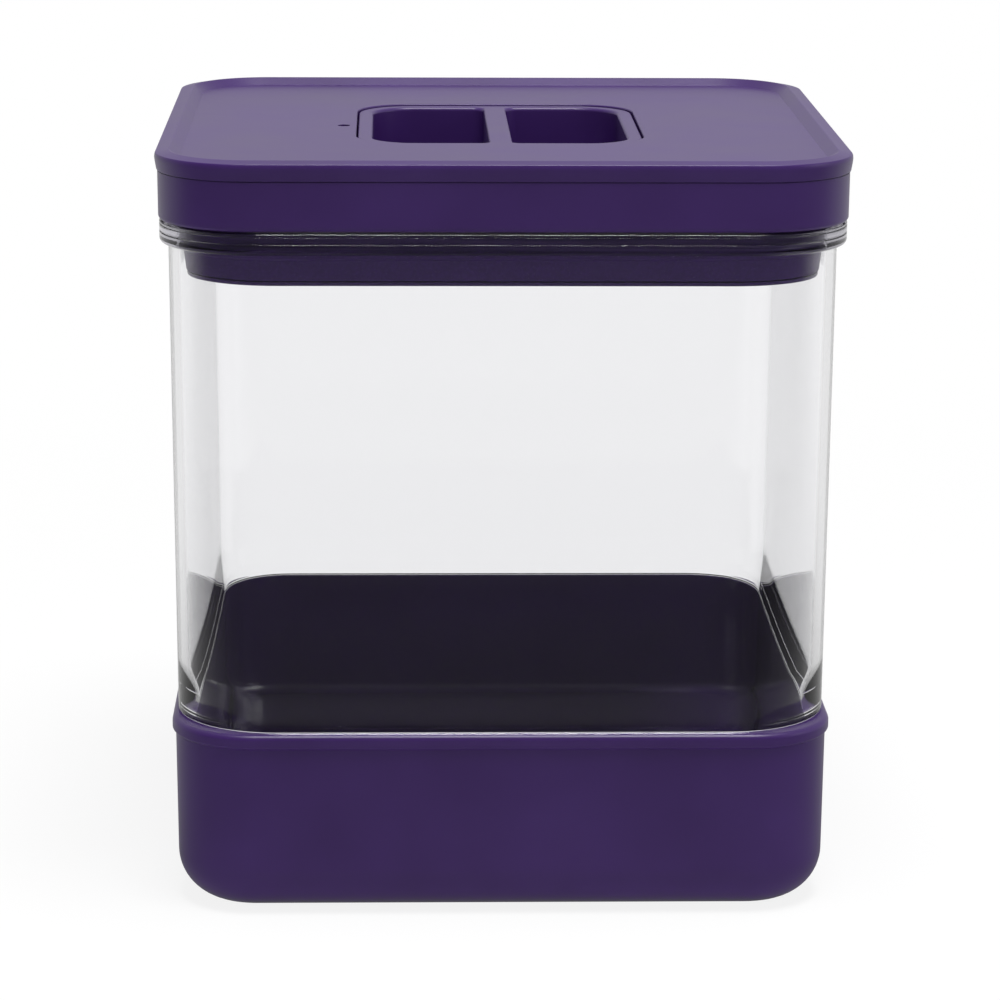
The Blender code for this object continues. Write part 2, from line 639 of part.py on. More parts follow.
def build_gasket(material, parent):
    """The soft ring round the plug, with one lip that meets the jar's wall."""
    lip_top = Z_GASKET_TOP - GASKET_LIP_SLOPE
    lip_bottom = lip_top - GASKET_LIP_HEIGHT
    profile = [
        (GASKET_BORE_INSET, Z_GASKET_BOTTOM),
        (GASKET_FOOT_INSET + GASKET_EDGE, Z_GASKET_BOTTOM),
        (GASKET_FOOT_INSET, Z_GASKET_BOTTOM + GASKET_EDGE),
        (GASKET_INSET, lip_bottom - GASKET_LIP_SLOPE),
        (LIP_INSET, lip_bottom),
        (LIP_INSET, lip_top),
        (GASKET_INSET, Z_GASKET_TOP),
        (GASKET_BORE_INSET, Z_GASKET_TOP),
    ]
    bm = bmesh.new()
    add_body_sweep(bm, [(WALL_CORNER_RADIUS, profile)], closed=True)
    return finish(bm, "seal_gasket", material, (0, 0, Z_GASKET_TOP), parent)


def build_plate(material, parent):
    """The sealing plate below the gasket, with a spigot wall and four hooked risers."""
    bottom = Z_PLATE - PLATE_THICKNESS
    profile = [
        (PLATE_INSET + PLATE_EDGE, bottom),
        (PLATE_INSET, bottom + PLATE_EDGE),
        (PLATE_INSET, Z_PLATE),
        (SPIGOT_INSET, Z_PLATE),
        (SPIGOT_INSET, Z_PLATE + SPIGOT_HEIGHT),
        (SPIGOT_BORE_INSET, Z_PLATE + SPIGOT_HEIGHT),
        (SPIGOT_BORE_INSET, Z_PLATE),
    ]
    bm = bmesh.new()
    add_body_sweep(bm, [(WALL_CORNER_RADIUS, profile)])
    plate = finish(bm, "seal_plate", material, (0, 0, Z_PLATE), parent)

    half_x = HALF * RISER_THICKNESS
    eye_y = HALF * LEVER_WIDTH + FIT
    eye_z = HALF * LEVER_THICKNESS + FIT + half_x * math.tan(LEVER_TILT)
    half_y = eye_y + RISER_MARGIN
    top = Z_FINGER + eye_z + RISER_CROWN
    bm = bmesh.new()
    for _, toward_x, middle_y in lever_places():
        centre_x = toward_x * X_FINGER
        add_box(bm, (centre_x - half_x, middle_y - half_y, Z_PLATE - HALF * PLATE_THICKNESS),
                (centre_x + half_x, middle_y + half_y, top))
    combine(plate, bm, "plate_risers", "UNION")

    bm = bmesh.new()
    rib_end = HALF * LEVER_SPACING
    for toward_x in SIDES:
        centre_x = toward_x * X_FINGER
        add_box(bm, (centre_x - HALF * half_x, -rib_end, Z_PLATE - HALF * PLATE_THICKNESS),
                (centre_x + HALF * half_x, rib_end, Z_PLATE + RISER_RIB_HEIGHT))
    combine(plate, bm, "plate_ribs", "UNION")

    bm = bmesh.new()
    for _, toward_x, middle_y in lever_places():
        centre_x = toward_x * X_FINGER
        add_box(bm, (centre_x - half_x - OVERRUN, middle_y - eye_y, Z_FINGER - eye_z),
                (centre_x + half_x + OVERRUN, middle_y + eye_y, Z_FINGER + eye_z))
    combine(plate, bm, "plate_eyes", "DIFFERENCE")
    return plate


def add_well(bm, toward):
    """One finger well: lofted outlines from the rounded floor up to the soft lip."""
    inner = HALF * BAR_WIDTH
    outer = HALF * BUTTON_WIDTH - BUTTON_RIM
    half_y = HALF * BUTTON_DEPTH - BUTTON_RIM
    corner = BUTTON_RADIUS - BUTTON_RIM
    heights = []
    for step in range(ARC_STEPS + 1):
        angle = math.pi / 2 * step / ARC_STEPS
        shrink = WELL_FLOOR_RADIUS * (1 - math.sin(angle))
        heights.append((shrink, Z_WELL_FLOOR + WELL_FLOOR_RADIUS * (1 - math.cos(angle))))
    for step in range(ARC_STEPS + 1):
        angle = math.pi / 2 * step / ARC_STEPS
        heights.append((-WELL_LIP * (1 - math.cos(angle)), Z_DECK - WELL_LIP * (1 - math.sin(angle))))
    heights.append((-WELL_LIP, Z_DECK + OVERRUN))
    sections = []
    for shrink, height in heights:
        near = inner + shrink
        far = outer - shrink
        side = half_y - shrink
        big = max(corner - shrink, SMALLEST_CORNER)
        small = max(WELL_BAR_RADIUS - shrink, SMALLEST_CORNER)
        if toward > 0:
            corners = [(far, side), (near, side), (near, -side), (far, -side)]
            radii = [big, small, small, big]
        else:
            corners = [(-near, side), (-far, side), (-far, -side), (-near, -side)]
            radii = [small, big, big, small]
        sections.append((rounded_corners(corners, radii, WELL_CORNER_STEPS), height))
    add_loft(bm, sections)


def build_button(material, parent):
    """The push button: two finger wells with a grip bar between, and a stop flange."""
    profile = [(BUTTON_EDGE, Z_DECK), (0, Z_DECK - BUTTON_EDGE), (0, Z_FLANGE_TOP)]
    profile += [(-BUTTON_FLANGE, Z_FLANGE_TOP), (-BUTTON_FLANGE, Z_BUTTON_BOTTOM)]
    profile += [(BUTTON_RIM, Z_BUTTON_BOTTOM), (BUTTON_RIM, Z_BUTTON_UNDER)]
    sections = swept_plan(profile, HALF * BUTTON_WIDTH, HALF * BUTTON_DEPTH, BUTTON_RADIUS)
    bm = bmesh.new()
    add_loft(bm, sections)
    button = finish(bm, "button", material, (0, 0, Z_DECK), parent)

    bm = bmesh.new()
    for toward in SIDES:
        add_well(bm, toward)
    window_y = HALF * LEVER_WIDTH + FIT
    window_z = HALF * LEVER_THICKNESS + FIT
    near = HALF * BUTTON_WIDTH - BUTTON_RIM - OVERRUN
    far = HALF * BUTTON_WIDTH + BUTTON_FLANGE + OVERRUN
    flare = (far - X_TIP) * math.tan(LEVER_TILT)
    for _, toward_x, middle_y in lever_places():
        window = [(near, -window_z), (X_TIP, -window_z), (far, -window_z - flare),
                  (far, window_z + flare), (X_TIP, window_z), (near, window_z)]
        outline = [(toward_x * x, Z_TIP + z) for x, z in window]
        add_plate(bm, [outline], middle_y - window_y, middle_y + window_y)
    combine(button, bm, "button_openings", "DIFFERENCE")

    bm = bmesh.new()
    for _, centre in spring_places():
        add_spring_spigot(bm, centre, Z_BUTTON_UNDER - SPRING_SPIGOT_HEIGHT, Z_BUTTON_UNDER + ROOT)
    combine(button, bm, "button_spigots", "UNION")
    return button


def lever_outline():
    """Side view of a lever about its pivot: long arm to the left, short finger right."""
    half = HALF * LEVER_THICKNESS
    meet = math.degrees(math.asin(half / HUB_RADIUS))
    runs = [
        (-LEVER_INNER_ARM, half, 90, 270),
        (0, HUB_RADIUS, 180 + meet, 360 - meet),
        (LEVER_OUTER_ARM, half, -90, 90),
        (0, HUB_RADIUS, meet, 180 - meet),
    ]
    points = []
    for centre_x, radius, start, end in runs:
        for step in range(ARC_STEPS + 1):
            angle = math.radians(start + (end - start) * step / ARC_STEPS)
            points.append((centre_x + radius * math.cos(angle), radius * math.sin(angle)))
    return points


def build_levers(material, pin_material, parent):
    """Four rocker levers, each turned about its own pin, tilted down to the button."""
    for name, toward_x, middle_y in lever_places():
        outline = [(toward_x * x, z) for x, z in lever_outline()]
        bore = circle(HALF * PIN_BORE_DIAMETER)
        bm = bmesh.new()
        add_plate(bm, [outline, bore], -HALF * LEVER_WIDTH, HALF * LEVER_WIDTH)
        lever = finish(bm, f"lever_{name}", material)
        pivot = Vector((toward_x * X_PIVOT, middle_y, Z_PIVOT))
        lever.parent = parent
        lever.location = pivot - world_of(parent)
        lever.rotation_euler = (0, -toward_x * LEVER_TILT, 0)

        half_length = HALF * LEVER_WIDTH + FIT + EAR_THICKNESS + PIN_STICK_OUT
        radius = HALF * PIN_DIAMETER
        profile = [
            (radius - PIN_CHAMFER, -half_length),
            (radius, PIN_CHAMFER - half_length),
            (radius, half_length - PIN_CHAMFER),
            (radius - PIN_CHAMFER, half_length),
        ]
        bm = bmesh.new()
        add_turned(bm, profile)
        pin = finish(bm, f"lever_pin_{name}", pin_material)
        pin.parent = parent
        pin.location = pivot - world_of(parent)
        pin.rotation_euler = (math.pi / 2, 0, 0)


def build_screws(material, parent):
    """Four pan-head screws that hold the frame up against the cover's bosses."""
    seat = Z_FRAME_UNDER - FIT
    head = HALF * SCREW_HEAD_DIAMETER
    shank = HALF * SCREW_SHANK_DIAMETER
    profile = [
        (head - SCREW_HEAD_CROWN, seat - SCREW_HEAD_HEIGHT),
        (head, seat - SCREW_HEAD_HEIGHT + SCREW_HEAD_CROWN),
        (head, seat),
        (shank, seat),
        (shank, seat + SCREW_LENGTH - SCREW_POINT),
        (HALF * shank, seat + SCREW_LENGTH),
    ]
    for name, centre in screw_places():
        bm = bmesh.new()
        add_turned(bm, profile, centre)
        finish(bm, f"screw_{name}", material, (centre[0], centre[1], seat), parent)


def build_springs(material, parent):
    """Two compression springs between the trough's floor and the button."""
    radius = HALF * (SPRING_DIAMETER - SPRING_WIRE)
    low = Z_TROUGH_FLOOR + FIT + HALF * SPRING_WIRE
    high = Z_BUTTON_UNDER - FIT - HALF * SPRING_WIRE
    count = round(SPRING_TURNS * WIRE_STEPS)
    path = []
    for step in range(count + 1):
        share = step / count
        angle = 2 * math.pi * SPRING_TURNS * share
        path.append((radius * math.cos(angle), radius * math.sin(angle), low + (high - low) * share))
    least = min(math.dist(path[a], path[b]) for a in range(count) for b in range(a + WIRE_STEPS // 2, count))
    print("spring: least gap between turns, mm:", round((least - SPRING_WIRE) / MM, 2))
    for name, centre in spring_places():
        curve = bpy.data.curves.new(f"spring_{name}", "CURVE")
        curve.dimensions = "3D"
        curve.bevel_depth = HALF * SPRING_WIRE
        curve.bevel_resolution = 1
        curve.use_fill_caps = True
        spline = curve.splines.new("POLY")
        spline.points.add(count)
        for point, place in zip(spline.points, path):
            point.co = (place[0], place[1], place[2] - Z_TROUGH_FLOOR, 1)
        curve.materials.append(material)
        spring = bpy.data.objects.new(f"spring_{name}", curve)
        bpy.context.collection.objects.link(spring)
        spring.parent = parent
        spring.location = Vector((centre[0], centre[1], Z_TROUGH_FLOOR)) - world_of(parent)


def build_latch(material, blade_material, lid, button):
    """The push latch: a housing in the trough, and the button's blade that enters it."""
    flange_top = Z_BUTTON_UNDER - FIT
    flange_bottom = flange_top - BLADE_FLANGE_THICKNESS
    low = Z_TROUGH_FLOOR + FIT
    high = flange_bottom - FIT
    half_x = HALF * LATCH_WIDTH
    half_y = HALF * LATCH_DEPTH
    body = swept_plan([(0, low), (0, high - LATCH_EDGE), (LATCH_EDGE, high)], half_x, half_y, 2 * LATCH_EDGE)
    bm = bmesh.new()
    add_loft(bm, body)
    housing = finish(bm, "latch_housing", material, (0, 0, low), lid)
    slot_x = HALF * BLADE_WIDTH + FIT
    slot_y = HALF * BLADE_THICKNESS + FIT
    bm = bmesh.new()
    add_box(bm, (-slot_x, -slot_y, low + LATCH_FLOOR), (slot_x, slot_y, high + OVERRUN))
    combine(housing, bm, "latch_slot", "DIFFERENCE")

    bm = bmesh.new()
    flange_x = HALF * BLADE_FLANGE_WIDTH
    flange_y = HALF * BLADE_FLANGE_DEPTH
    add_box(bm, (-flange_x, -flange_y, flange_bottom), (flange_x, flange_y, flange_top))
    blade = finish(bm, "latch_blade", blade_material, (0, 0, flange_top), button)
    bm = bmesh.new()
    blade_x = HALF * BLADE_WIDTH
    blade_y = HALF * BLADE_THICKNESS
    add_box(bm, (-blade_x, -blade_y, low + LATCH_FLOOR + FIT),
            (blade_x, blade_y, flange_bottom + HALF * BLADE_FLANGE_THICKNESS))
    combine(blade, bm, "latch_blade_bar", "UNION")


def build_container():
    """Build every piece and hang the moving ones on their empties."""
    for old in list(bpy.data.objects):
        bpy.data.objects.remove(old, do_unlink=True)

    shell = make_material("moulded_purple_plastic", srgb(0.24, 0.16, 0.37), 0.42)
    clear = make_material("clear_copolymer", srgb(0.94, 0.95, 0.96), 0.05, transmission=1.0)
    inner = make_material("inner_purple_plastic", srgb(0.20, 0.14, 0.30), 0.45)
    silicone = make_material("dark_silicone", srgb(0.17, 0.12, 0.24), 0.6)
    acetal = make_material("white_acetal", srgb(0.85, 0.85, 0.83), 0.35)
    steel = make_material("stainless_steel", srgb(0.72, 0.72, 0.74), 0.3, metallic=1.0)

    lid = add_empty("lid_lift", (0, 0, Z_RIM))
    button = add_empty("button_travel", (0, 0, Z_DECK), lid)
    plate = add_empty("plate_travel", (0, 0, Z_PLATE), lid)

    build_boot(shell)
    build_jar(clear)
    build_cover(shell, lid)
    build_frame(inner, lid)
    build_gasket(silicone, lid)
    build_plate(inner, plate)
    build_button(shell, button)
    build_levers(acetal, steel, lid)
    build_screws(steel, lid)
    build_springs(steel, lid)
    build_latch(acetal, acetal, lid, button)


build_container()
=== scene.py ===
# %% [markdown]
# # A push-button food container, dressed for the studio
# The container is a square canister: a clear jar that stands in a coloured base
# boot, and a lid whose square button squeezes a soft gasket against the jar's
# wall. The CAD model is loaded first and stays as it is. Every surface that
# shows is then modelled again at full smoothness, in the place of its CAD node,
# and gets a material that is built from nodes.

# %% Load the CAD model
import math

import bmesh
import bpy
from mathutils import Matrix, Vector


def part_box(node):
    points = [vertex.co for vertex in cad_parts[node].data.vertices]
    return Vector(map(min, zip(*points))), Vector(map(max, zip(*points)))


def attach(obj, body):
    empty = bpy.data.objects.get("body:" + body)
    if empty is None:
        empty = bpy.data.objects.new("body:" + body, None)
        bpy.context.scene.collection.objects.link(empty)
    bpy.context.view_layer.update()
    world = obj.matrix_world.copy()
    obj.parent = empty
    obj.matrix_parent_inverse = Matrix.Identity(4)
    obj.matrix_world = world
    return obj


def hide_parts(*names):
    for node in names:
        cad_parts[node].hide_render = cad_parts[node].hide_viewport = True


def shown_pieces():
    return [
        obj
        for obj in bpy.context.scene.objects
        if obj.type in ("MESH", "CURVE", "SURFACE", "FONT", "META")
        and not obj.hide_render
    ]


MM = 0.001

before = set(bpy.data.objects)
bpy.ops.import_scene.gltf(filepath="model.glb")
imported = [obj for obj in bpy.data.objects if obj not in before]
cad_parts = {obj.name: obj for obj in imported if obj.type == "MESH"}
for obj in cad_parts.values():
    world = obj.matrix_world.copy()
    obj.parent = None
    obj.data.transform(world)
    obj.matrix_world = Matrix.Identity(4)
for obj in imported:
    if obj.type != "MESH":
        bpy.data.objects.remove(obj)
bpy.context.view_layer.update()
for name in sorted(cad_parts):
    low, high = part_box(name)
    print(name, [round(value / MM, 1) for value in (*low, *high)])

# %% [markdown]
# ## Colours and nodes
# Colours are picked the way a designer does, as sRGB hex values. Cycles works
# with linear light, so one function turns a hex value into linear numbers. One
# more function adds a shader node with its settings and links, and the colour
# stops if it is a ramp, which keeps each material short enough to read from top
# to bottom.

# %% Helpers for colours and nodes
def linear(hex_colour):
    """Turn an sRGB hex colour such as 4a3170 into linear light."""
    values = []
    for start in (0, 2, 4):
        share = int(hex_colour[start:start + 2], 16) / 255
        values.append(share / 12.92 if share <= 0.04045 else ((share + 0.055) / 1.055) ** 2.4)
    return (*values, 1.0)


def add_node(tree, kind, settings=None, values=None, links=None, stops=()):
    """Add a shader node with its properties, socket values, links and colour stops."""
    node = tree.nodes.new(kind)
    for name, value in (settings or {}).items():
        setattr(node, name, value)
    for name, value in (values or {}).items():
        node.inputs[name].default_value = value
    for name, source in (links or {}).items():
        tree.links.new(source, node.inputs[name])
    for number, (place, hex_colour) in enumerate(stops):
        element = node.color_ramp.elements[number]
        element.position = place
        element.color = linear(hex_colour)
    return node


def new_material(name):
    """Make a material, and return it, its node tree and the Object coordinates."""
    material = bpy.data.materials.new(name)
    material.use_nodes = True
    tree = material.node_tree
    tree.nodes.clear()
    return material, tree, add_node(tree, "ShaderNodeTexCoord").outputs["Object"]


# %% [markdown]
# ## Purple polypropylene with a spark-eroded skin
# The boot, the lid's cover and the button are injection-moulded polypropylene.
# Their steel moulds are spark-eroded, which leaves an even, very fine grain, so
# the plastic looks matt from the front and bright at a glancing angle. The grain
# is about 0.1 mm on the real part. It is drawn at 0.35 mm, because a finer one
# would vanish between two pixels. A second, slow pattern about 30 mm wide stands
# for the way the melt flows and for handling: it shifts the colour and the
# roughness by a few per cent.

# %% Purple moulded plastic
GRAIN_SIZE = 0.35 * MM
GRAIN_DEPTH = 0.012 * MM
GRAIN_STRENGTH = 0.35
FLOW_SIZE = 30 * MM


def moulded_plastic(name, dark, light, rough_low, rough_high, gloss):
    """Satin moulded plastic with a fine grain and slow flow marks."""
    material, tree, place = new_material(name)
    flow = add_node(tree, "ShaderNodeTexNoise", links={"Vector": place},
                    values={"Scale": 1 / FLOW_SIZE, "Detail": 3.0})
    grain = add_node(tree, "ShaderNodeTexNoise", links={"Vector": place},
                     values={"Scale": 1 / GRAIN_SIZE, "Detail": 2.0})
    colour = add_node(tree, "ShaderNodeValToRGB", links={"Fac": flow.outputs["Fac"]},
                      stops=[(0.3, dark), (0.7, light)])
    rough = add_node(tree, "ShaderNodeMapRange", links={"Value": flow.outputs["Fac"]},
                     values={"To Min": rough_low, "To Max": rough_high})
    bump = add_node(tree, "ShaderNodeBump", links={"Height": grain.outputs["Fac"]},
                    values={"Strength": GRAIN_STRENGTH, "Distance": GRAIN_DEPTH})
    shader = add_node(tree, "ShaderNodeBsdfPrincipled",
                      values={"IOR": 1.49, "Specular IOR Level": gloss},
                      links={"Base Color": colour.outputs["Color"],
                             "Roughness": rough.outputs["Result"],
                             "Normal": bump.outputs["Normal"]})
    add_node(tree, "ShaderNodeOutputMaterial", links={"Surface": shader.outputs[0]})
    return material


purple_shell = moulded_plastic("spark_eroded_purple_polypropylene", dark="361b59", light="3b1f61",
                               rough_low=0.34, rough_high=0.40, gloss=0.4)
purple_inner = moulded_plastic("moulded_inner_purple_polypropylene", dark="321a54", light="371d5a",
                               rough_low=0.36, rough_high=0.44, gloss=0.4)
print("moulded plastics:", purple_shell.name, purple_inner.name)

# %% [markdown]
# ## Clear copolyester
# The jar is a clear, tough copolyester. Clear plastic needs a real wall to bend
# light, so the jar is modelled with both its skins, and the shader is pure
# transmission with the plastic's index of refraction. Moulded walls are never
# optically flat: a slow ripple of a few microns makes what lies behind them
# swim a little at the edges. A path tracer finds lamps badly through glass, and
# the plug and the boot's floor would stay black behind it. So rays that carry
# light to a lamp, or from a dull surface, pass through a Transparent shader
# instead, which loses the few per cent that the wall really takes.
#
# The collar is thick and drawn with fine lines all the way round, and the dark lid mirrors in it.
# That mirrored dark is painted into the colour: above the collar's lower edge the plastic's tint
# goes to grey, a painted reflection in streaks about 0.6 mm high and much longer than that.

# %% Clear jar plastic
RIPPLE_SIZE = 45 * MM
RIPPLE_DEPTH = 0.05 * MM
RIPPLE_STRENGTH = 0.15
COLLAR_UNDER = 176.4 * MM
COLLAR_FADE = {"From Min": COLLAR_UNDER - 0.2 * MM, "From Max": COLLAR_UNDER + 0.4 * MM}
STREAK_HEIGHT = 0.6 * MM
STREAK_LENGTH = 60 * MM

clear_wall, tree, place = new_material("clear_moulded_copolyester")
ripple = add_node(tree, "ShaderNodeTexNoise", links={"Vector": place},
                  values={"Scale": 1 / RIPPLE_SIZE, "Detail": 1.0})
bump = add_node(tree, "ShaderNodeBump", links={"Height": ripple.outputs["Fac"]},
                values={"Strength": RIPPLE_STRENGTH, "Distance": RIPPLE_DEPTH})
axes = add_node(tree, "ShaderNodeSeparateXYZ", links={"Vector": place})
in_collar = add_node(tree, "ShaderNodeMapRange", None, COLLAR_FADE, {"Value": axes.outputs["Z"]})
streak_scale = (1 / STREAK_LENGTH, 1 / STREAK_LENGTH, 1 / STREAK_HEIGHT)
stretched = add_node(tree, "ShaderNodeMapping", values={"Scale": streak_scale},
                     links={"Vector": place})
streaks = add_node(tree, "ShaderNodeTexNoise", values={"Scale": 1.0, "Detail": 1.0},
                   links={"Vector": stretched.outputs["Vector"]})
# Painted reflection: grey streaks in the collar stand in for the dark lid mirrored in it.
painted_collar_reflection = add_node(tree, "ShaderNodeValToRGB", links={"Fac": streaks.outputs["Fac"]},
                 stops=[(0.35, "93919a"), (0.65, "d6d4dc")])
tint_and_painted_reflection = add_node(tree, "ShaderNodeMix", {"data_type": "RGBA"}, {6: linear("fefeff")},
                {0: in_collar.outputs["Result"], 7: painted_collar_reflection.outputs["Color"]})
shader = add_node(tree, "ShaderNodeBsdfPrincipled",
                  values={"Roughness": 0.015, "IOR": 1.51, "Transmission Weight": 1.0},
                  links={"Base Color": tint_and_painted_reflection.outputs[2], "Normal": bump.outputs["Normal"]})
open_way = add_node(tree, "ShaderNodeBsdfTransparent", values={"Color": linear("f5f5f6")})
rays = add_node(tree, "ShaderNodeLightPath")
carries_light = add_node(tree, "ShaderNodeMath", {"operation": "MAXIMUM"},
                         links={0: rays.outputs["Is Shadow Ray"],
                                1: rays.outputs["Is Diffuse Ray"]})
mix = add_node(tree, "ShaderNodeMixShader",
               links={0: carries_light.outputs[0], 1: shader.outputs[0], 2: open_way.outputs[0]})
add_node(tree, "ShaderNodeOutputMaterial", links={"Surface": mix.outputs[0]})
print("clear wall:", clear_wall.name)

# %% [markdown]
# ## Silicone, acetal and steel
# The gasket is purple, soft silicone: it is duller than the plastic, and it always
# holds a little dust, which a fine noise scatters through its roughness. The
# levers and the latch are acetal, an off-white, slippery plastic. Pins, springs
# and screws are stainless steel, drawn or rolled, with fine marks across them.

# %% Silicone, acetal and steel
DUST_SIZE = 0.8 * MM
DRAW_SIZE = 0.25 * MM

silicone, tree, place = new_material("moulded_purple_silicone")
dust = add_node(tree, "ShaderNodeTexNoise", links={"Vector": place},
                values={"Scale": 1 / DUST_SIZE, "Detail": 4.0})
colour = add_node(tree, "ShaderNodeValToRGB", links={"Fac": dust.outputs["Fac"]},
                  stops=[(0.4, "321952"), (0.75, "3a2060")])
rough = add_node(tree, "ShaderNodeMapRange", links={"Value": dust.outputs["Fac"]},
                 values={"To Min": 0.45, "To Max": 0.65})
shader = add_node(tree, "ShaderNodeBsdfPrincipled",
                  values={"IOR": 1.41, "Specular IOR Level": 0.3},
                  links={"Base Color": colour.outputs["Color"],
                         "Roughness": rough.outputs["Result"]})
add_node(tree, "ShaderNodeOutputMaterial", links={"Surface": shader.outputs[0]})

acetal = moulded_plastic("moulded_white_acetal", dark="d8d6cf", light="e4e2dc",
                         rough_low=0.28, rough_high=0.36, gloss=0.5)

steel, tree, place = new_material("drawn_stainless_steel")
draw = add_node(tree, "ShaderNodeTexNoise", links={"Vector": place},
                values={"Scale": 1 / DRAW_SIZE, "Detail": 3.0})
rough = add_node(tree, "ShaderNodeMapRange", links={"Value": draw.outputs["Fac"]},
                 values={"To Min": 0.18, "To Max": 0.34})
shader = add_node(tree, "ShaderNodeBsdfPrincipled",
                  values={"Base Color": linear("c4c6c9"), "Metallic": 1.0},
                  links={"Roughness": rough.outputs["Result"]})
add_node(tree, "ShaderNodeOutputMaterial", links={"Surface": shader.outputs[0]})
print("other finishes:", silicone.name, acetal.name, steel.name)

# %% [markdown]
# ## How the round-cornered pieces are made
# Every outline of this container is a rounded square, drawn in from the lid's
# widest edge. That suits one way of working: add a block at its widest ring,
# round its four upright corners with a bevel, and then carry the top and the
# bottom cap inwards ring by ring with the inset operator. An inset keeps the
# walls parallel and shrinks the corner radius by the same amount, just as an
# offset in a drawing does. The caps can go up, down, or back inside the piece,
# so one block becomes a whole thin-walled shell. The lid and the boot follow a
# 25 mm corner and the jar's wall a rounder one of 31 mm, so a piece with both
# is made of two or three blocks, joined or cut with a Boolean modifier.

# %% Modelling helpers
LID_WIDTH = 180.0 * MM
CORNER_RADIUS = 25.0 * MM
WALL_CORNER_RADIUS = 31.0 * MM
CORNER_SEGMENTS = 20
WIDE_ARC_SEGMENTS = 12
ARC_SEGMENTS = 8
SMALL_ARC_SEGMENTS = 4
EDGE_SEGMENTS = 3
TINY = 0.001 * MM
# How far a face's normal points up or down, from 0 for a wall to 1 for a floor.
LEVEL = 0.99
STEEP = 0.5
UPRIGHT = 0.1


def deselect_everything():
    """Leave edit mode and clear the selection, CAD nodes included."""
    active = bpy.context.view_layer.objects.active
    if active and active.mode != "OBJECT":
        bpy.ops.object.mode_set(mode="OBJECT")
    bpy.ops.object.select_all(action="DESELECT")


def activate(piece):
    """Make one piece the only selected object, and the active one."""
    deselect_everything()
    piece.select_set(True)
    bpy.context.view_layer.objects.active = piece


def add_block(name, low, high):
    """Add a cube primitive that spans two corners."""
    deselect_everything()
    centre = [(a + b) / 2 for a, b in zip(low, high)]
    bpy.ops.mesh.primitive_cube_add(size=1, location=centre)
    block = bpy.context.object
    block.name = name
    block.data.name = name
    block.scale = [b - a for a, b in zip(low, high)]
    bpy.ops.object.transform_apply(location=True, rotation=True, scale=True)
    return block


def start_picking(select_mode):
    """Say what edit mode selects, and start with nothing selected."""
    bpy.ops.mesh.select_mode(type=select_mode)
    bpy.ops.mesh.select_all(action="DESELECT")


def enter(piece, select_mode):
    """Go into edit mode on a piece with nothing selected."""
    activate(piece)
    bpy.ops.object.mode_set(mode="EDIT")
    start_picking(select_mode)


def pick(piece, kind, test):
    """Select the faces, edges or vertices of a piece in edit mode that pass a test."""
    bm = bmesh.from_edit_mesh(piece.data)
    count = 0
    for item in getattr(bm, kind):
        if test(item):
            item.select_set(True)
            count += 1
    bmesh.update_edit_mesh(piece.data)
    return count


def is_upright(edge):
    """True for an edge that stands straight up."""
    a, b = (vert.co for vert in edge.verts)
    return abs(a.z - b.z) > TINY and (a.xy - b.xy).length < TINY


def is_level_at(edge, height):
    """True for an edge that lies at a height."""
    return all(abs(vert.co.z - height) < TINY for vert in edge.verts)


def has_wall(edge):
    """True for an edge that meets a steep face."""
    return any(abs(face.normal.z) < STEEP for face in edge.link_faces)


def bevel_edges(width, segments):
    """Round the selected edges and leave edit mode."""
    bpy.ops.mesh.bevel(offset=width, segments=segments, profile=0.5, affect="EDGES")
    bpy.ops.object.mode_set(mode="OBJECT")


def rounded_block(name, low, high, radius, segments=CORNER_SEGMENTS):
    """A block whose four upright edges are rounded."""
    block = add_block(name, low, high)
    enter(block, "EDGE")
    pick(block, "edges", is_upright)
    bevel_edges(radius, segments)
    return block


def pick_cap(piece, height, facing):
    """Select the flat cap at a height that faces up (1) or down (-1)."""
    return pick(piece, "faces", lambda face: face.normal.z * facing > LEVEL
                and abs(face.calc_center_median().z - height) < TINY)


def carry_cap(piece, facing, profile):
    """Carry a cap through a profile of (inset, height) places, starting at its own."""
    enter(piece, "FACE")
    pick_cap(piece, profile[0][1], facing)
    for (inset, height), (next_inset, next_height) in zip(profile, profile[1:]):
        rise = next_height - height
        if next_inset - inset > TINY:
            bpy.ops.mesh.inset(thickness=next_inset - inset, depth=rise * facing)
        else:
            bpy.ops.mesh.extrude_region_move(TRANSFORM_OT_translate={"value": (0, 0, rise)})
    bpy.ops.object.mode_set(mode="OBJECT")


def arc(inset, height, radius, start, end, steps=ARC_SEGMENTS):
    """Places on an arc; 0 degrees faces outwards and 90 degrees faces up."""
    places = []
    for step in range(steps + 1):
        angle = math.radians(start + (end - start) * step / steps)
        places.append((inset - radius * math.cos(angle), height + radius * math.sin(angle)))
    return places


def body_block(name, inset, low, high, radius=CORNER_RADIUS):
    """The container's rounded square, drawn in by an inset, between two heights."""
    half = LID_WIDTH / 2 - inset
    return rounded_block(name, (-half, -half, low), (half, half, high), radius - inset)


def apply_modifier(piece, kind, settings):
    """Add a modifier and apply it at once."""
    activate(piece)
    modifier = piece.modifiers.new(kind.title(), kind)
    for name, value in settings.items():
        setattr(modifier, name, value)
    bpy.ops.object.modifier_apply(modifier=modifier.name)


def join_or_cut(piece, tool, operation):
    """Join a tool shape to a piece, or cut it out, and remove the tool."""
    apply_modifier(piece, "BOOLEAN", {"object": tool, "operation": operation, "solver": "EXACT"})
    bpy.data.objects.remove(tool)


def extrude_band(piece, bottom, top, depth):
    """Push the wall faces between two heights inwards, all the way round."""
    enter(piece, "FACE")
    pick(piece, "faces", lambda face: abs(face.normal.z) < UPRIGHT
         and abs(face.calc_center_median().z - (bottom + top) / 2) < (top - bottom) / 4)
    bpy.ops.mesh.extrude_region_shrink_fatten(
        TRANSFORM_OT_shrink_fatten={"value": -depth, "use_even_offset": True})
    bpy.ops.object.mode_set(mode="OBJECT")


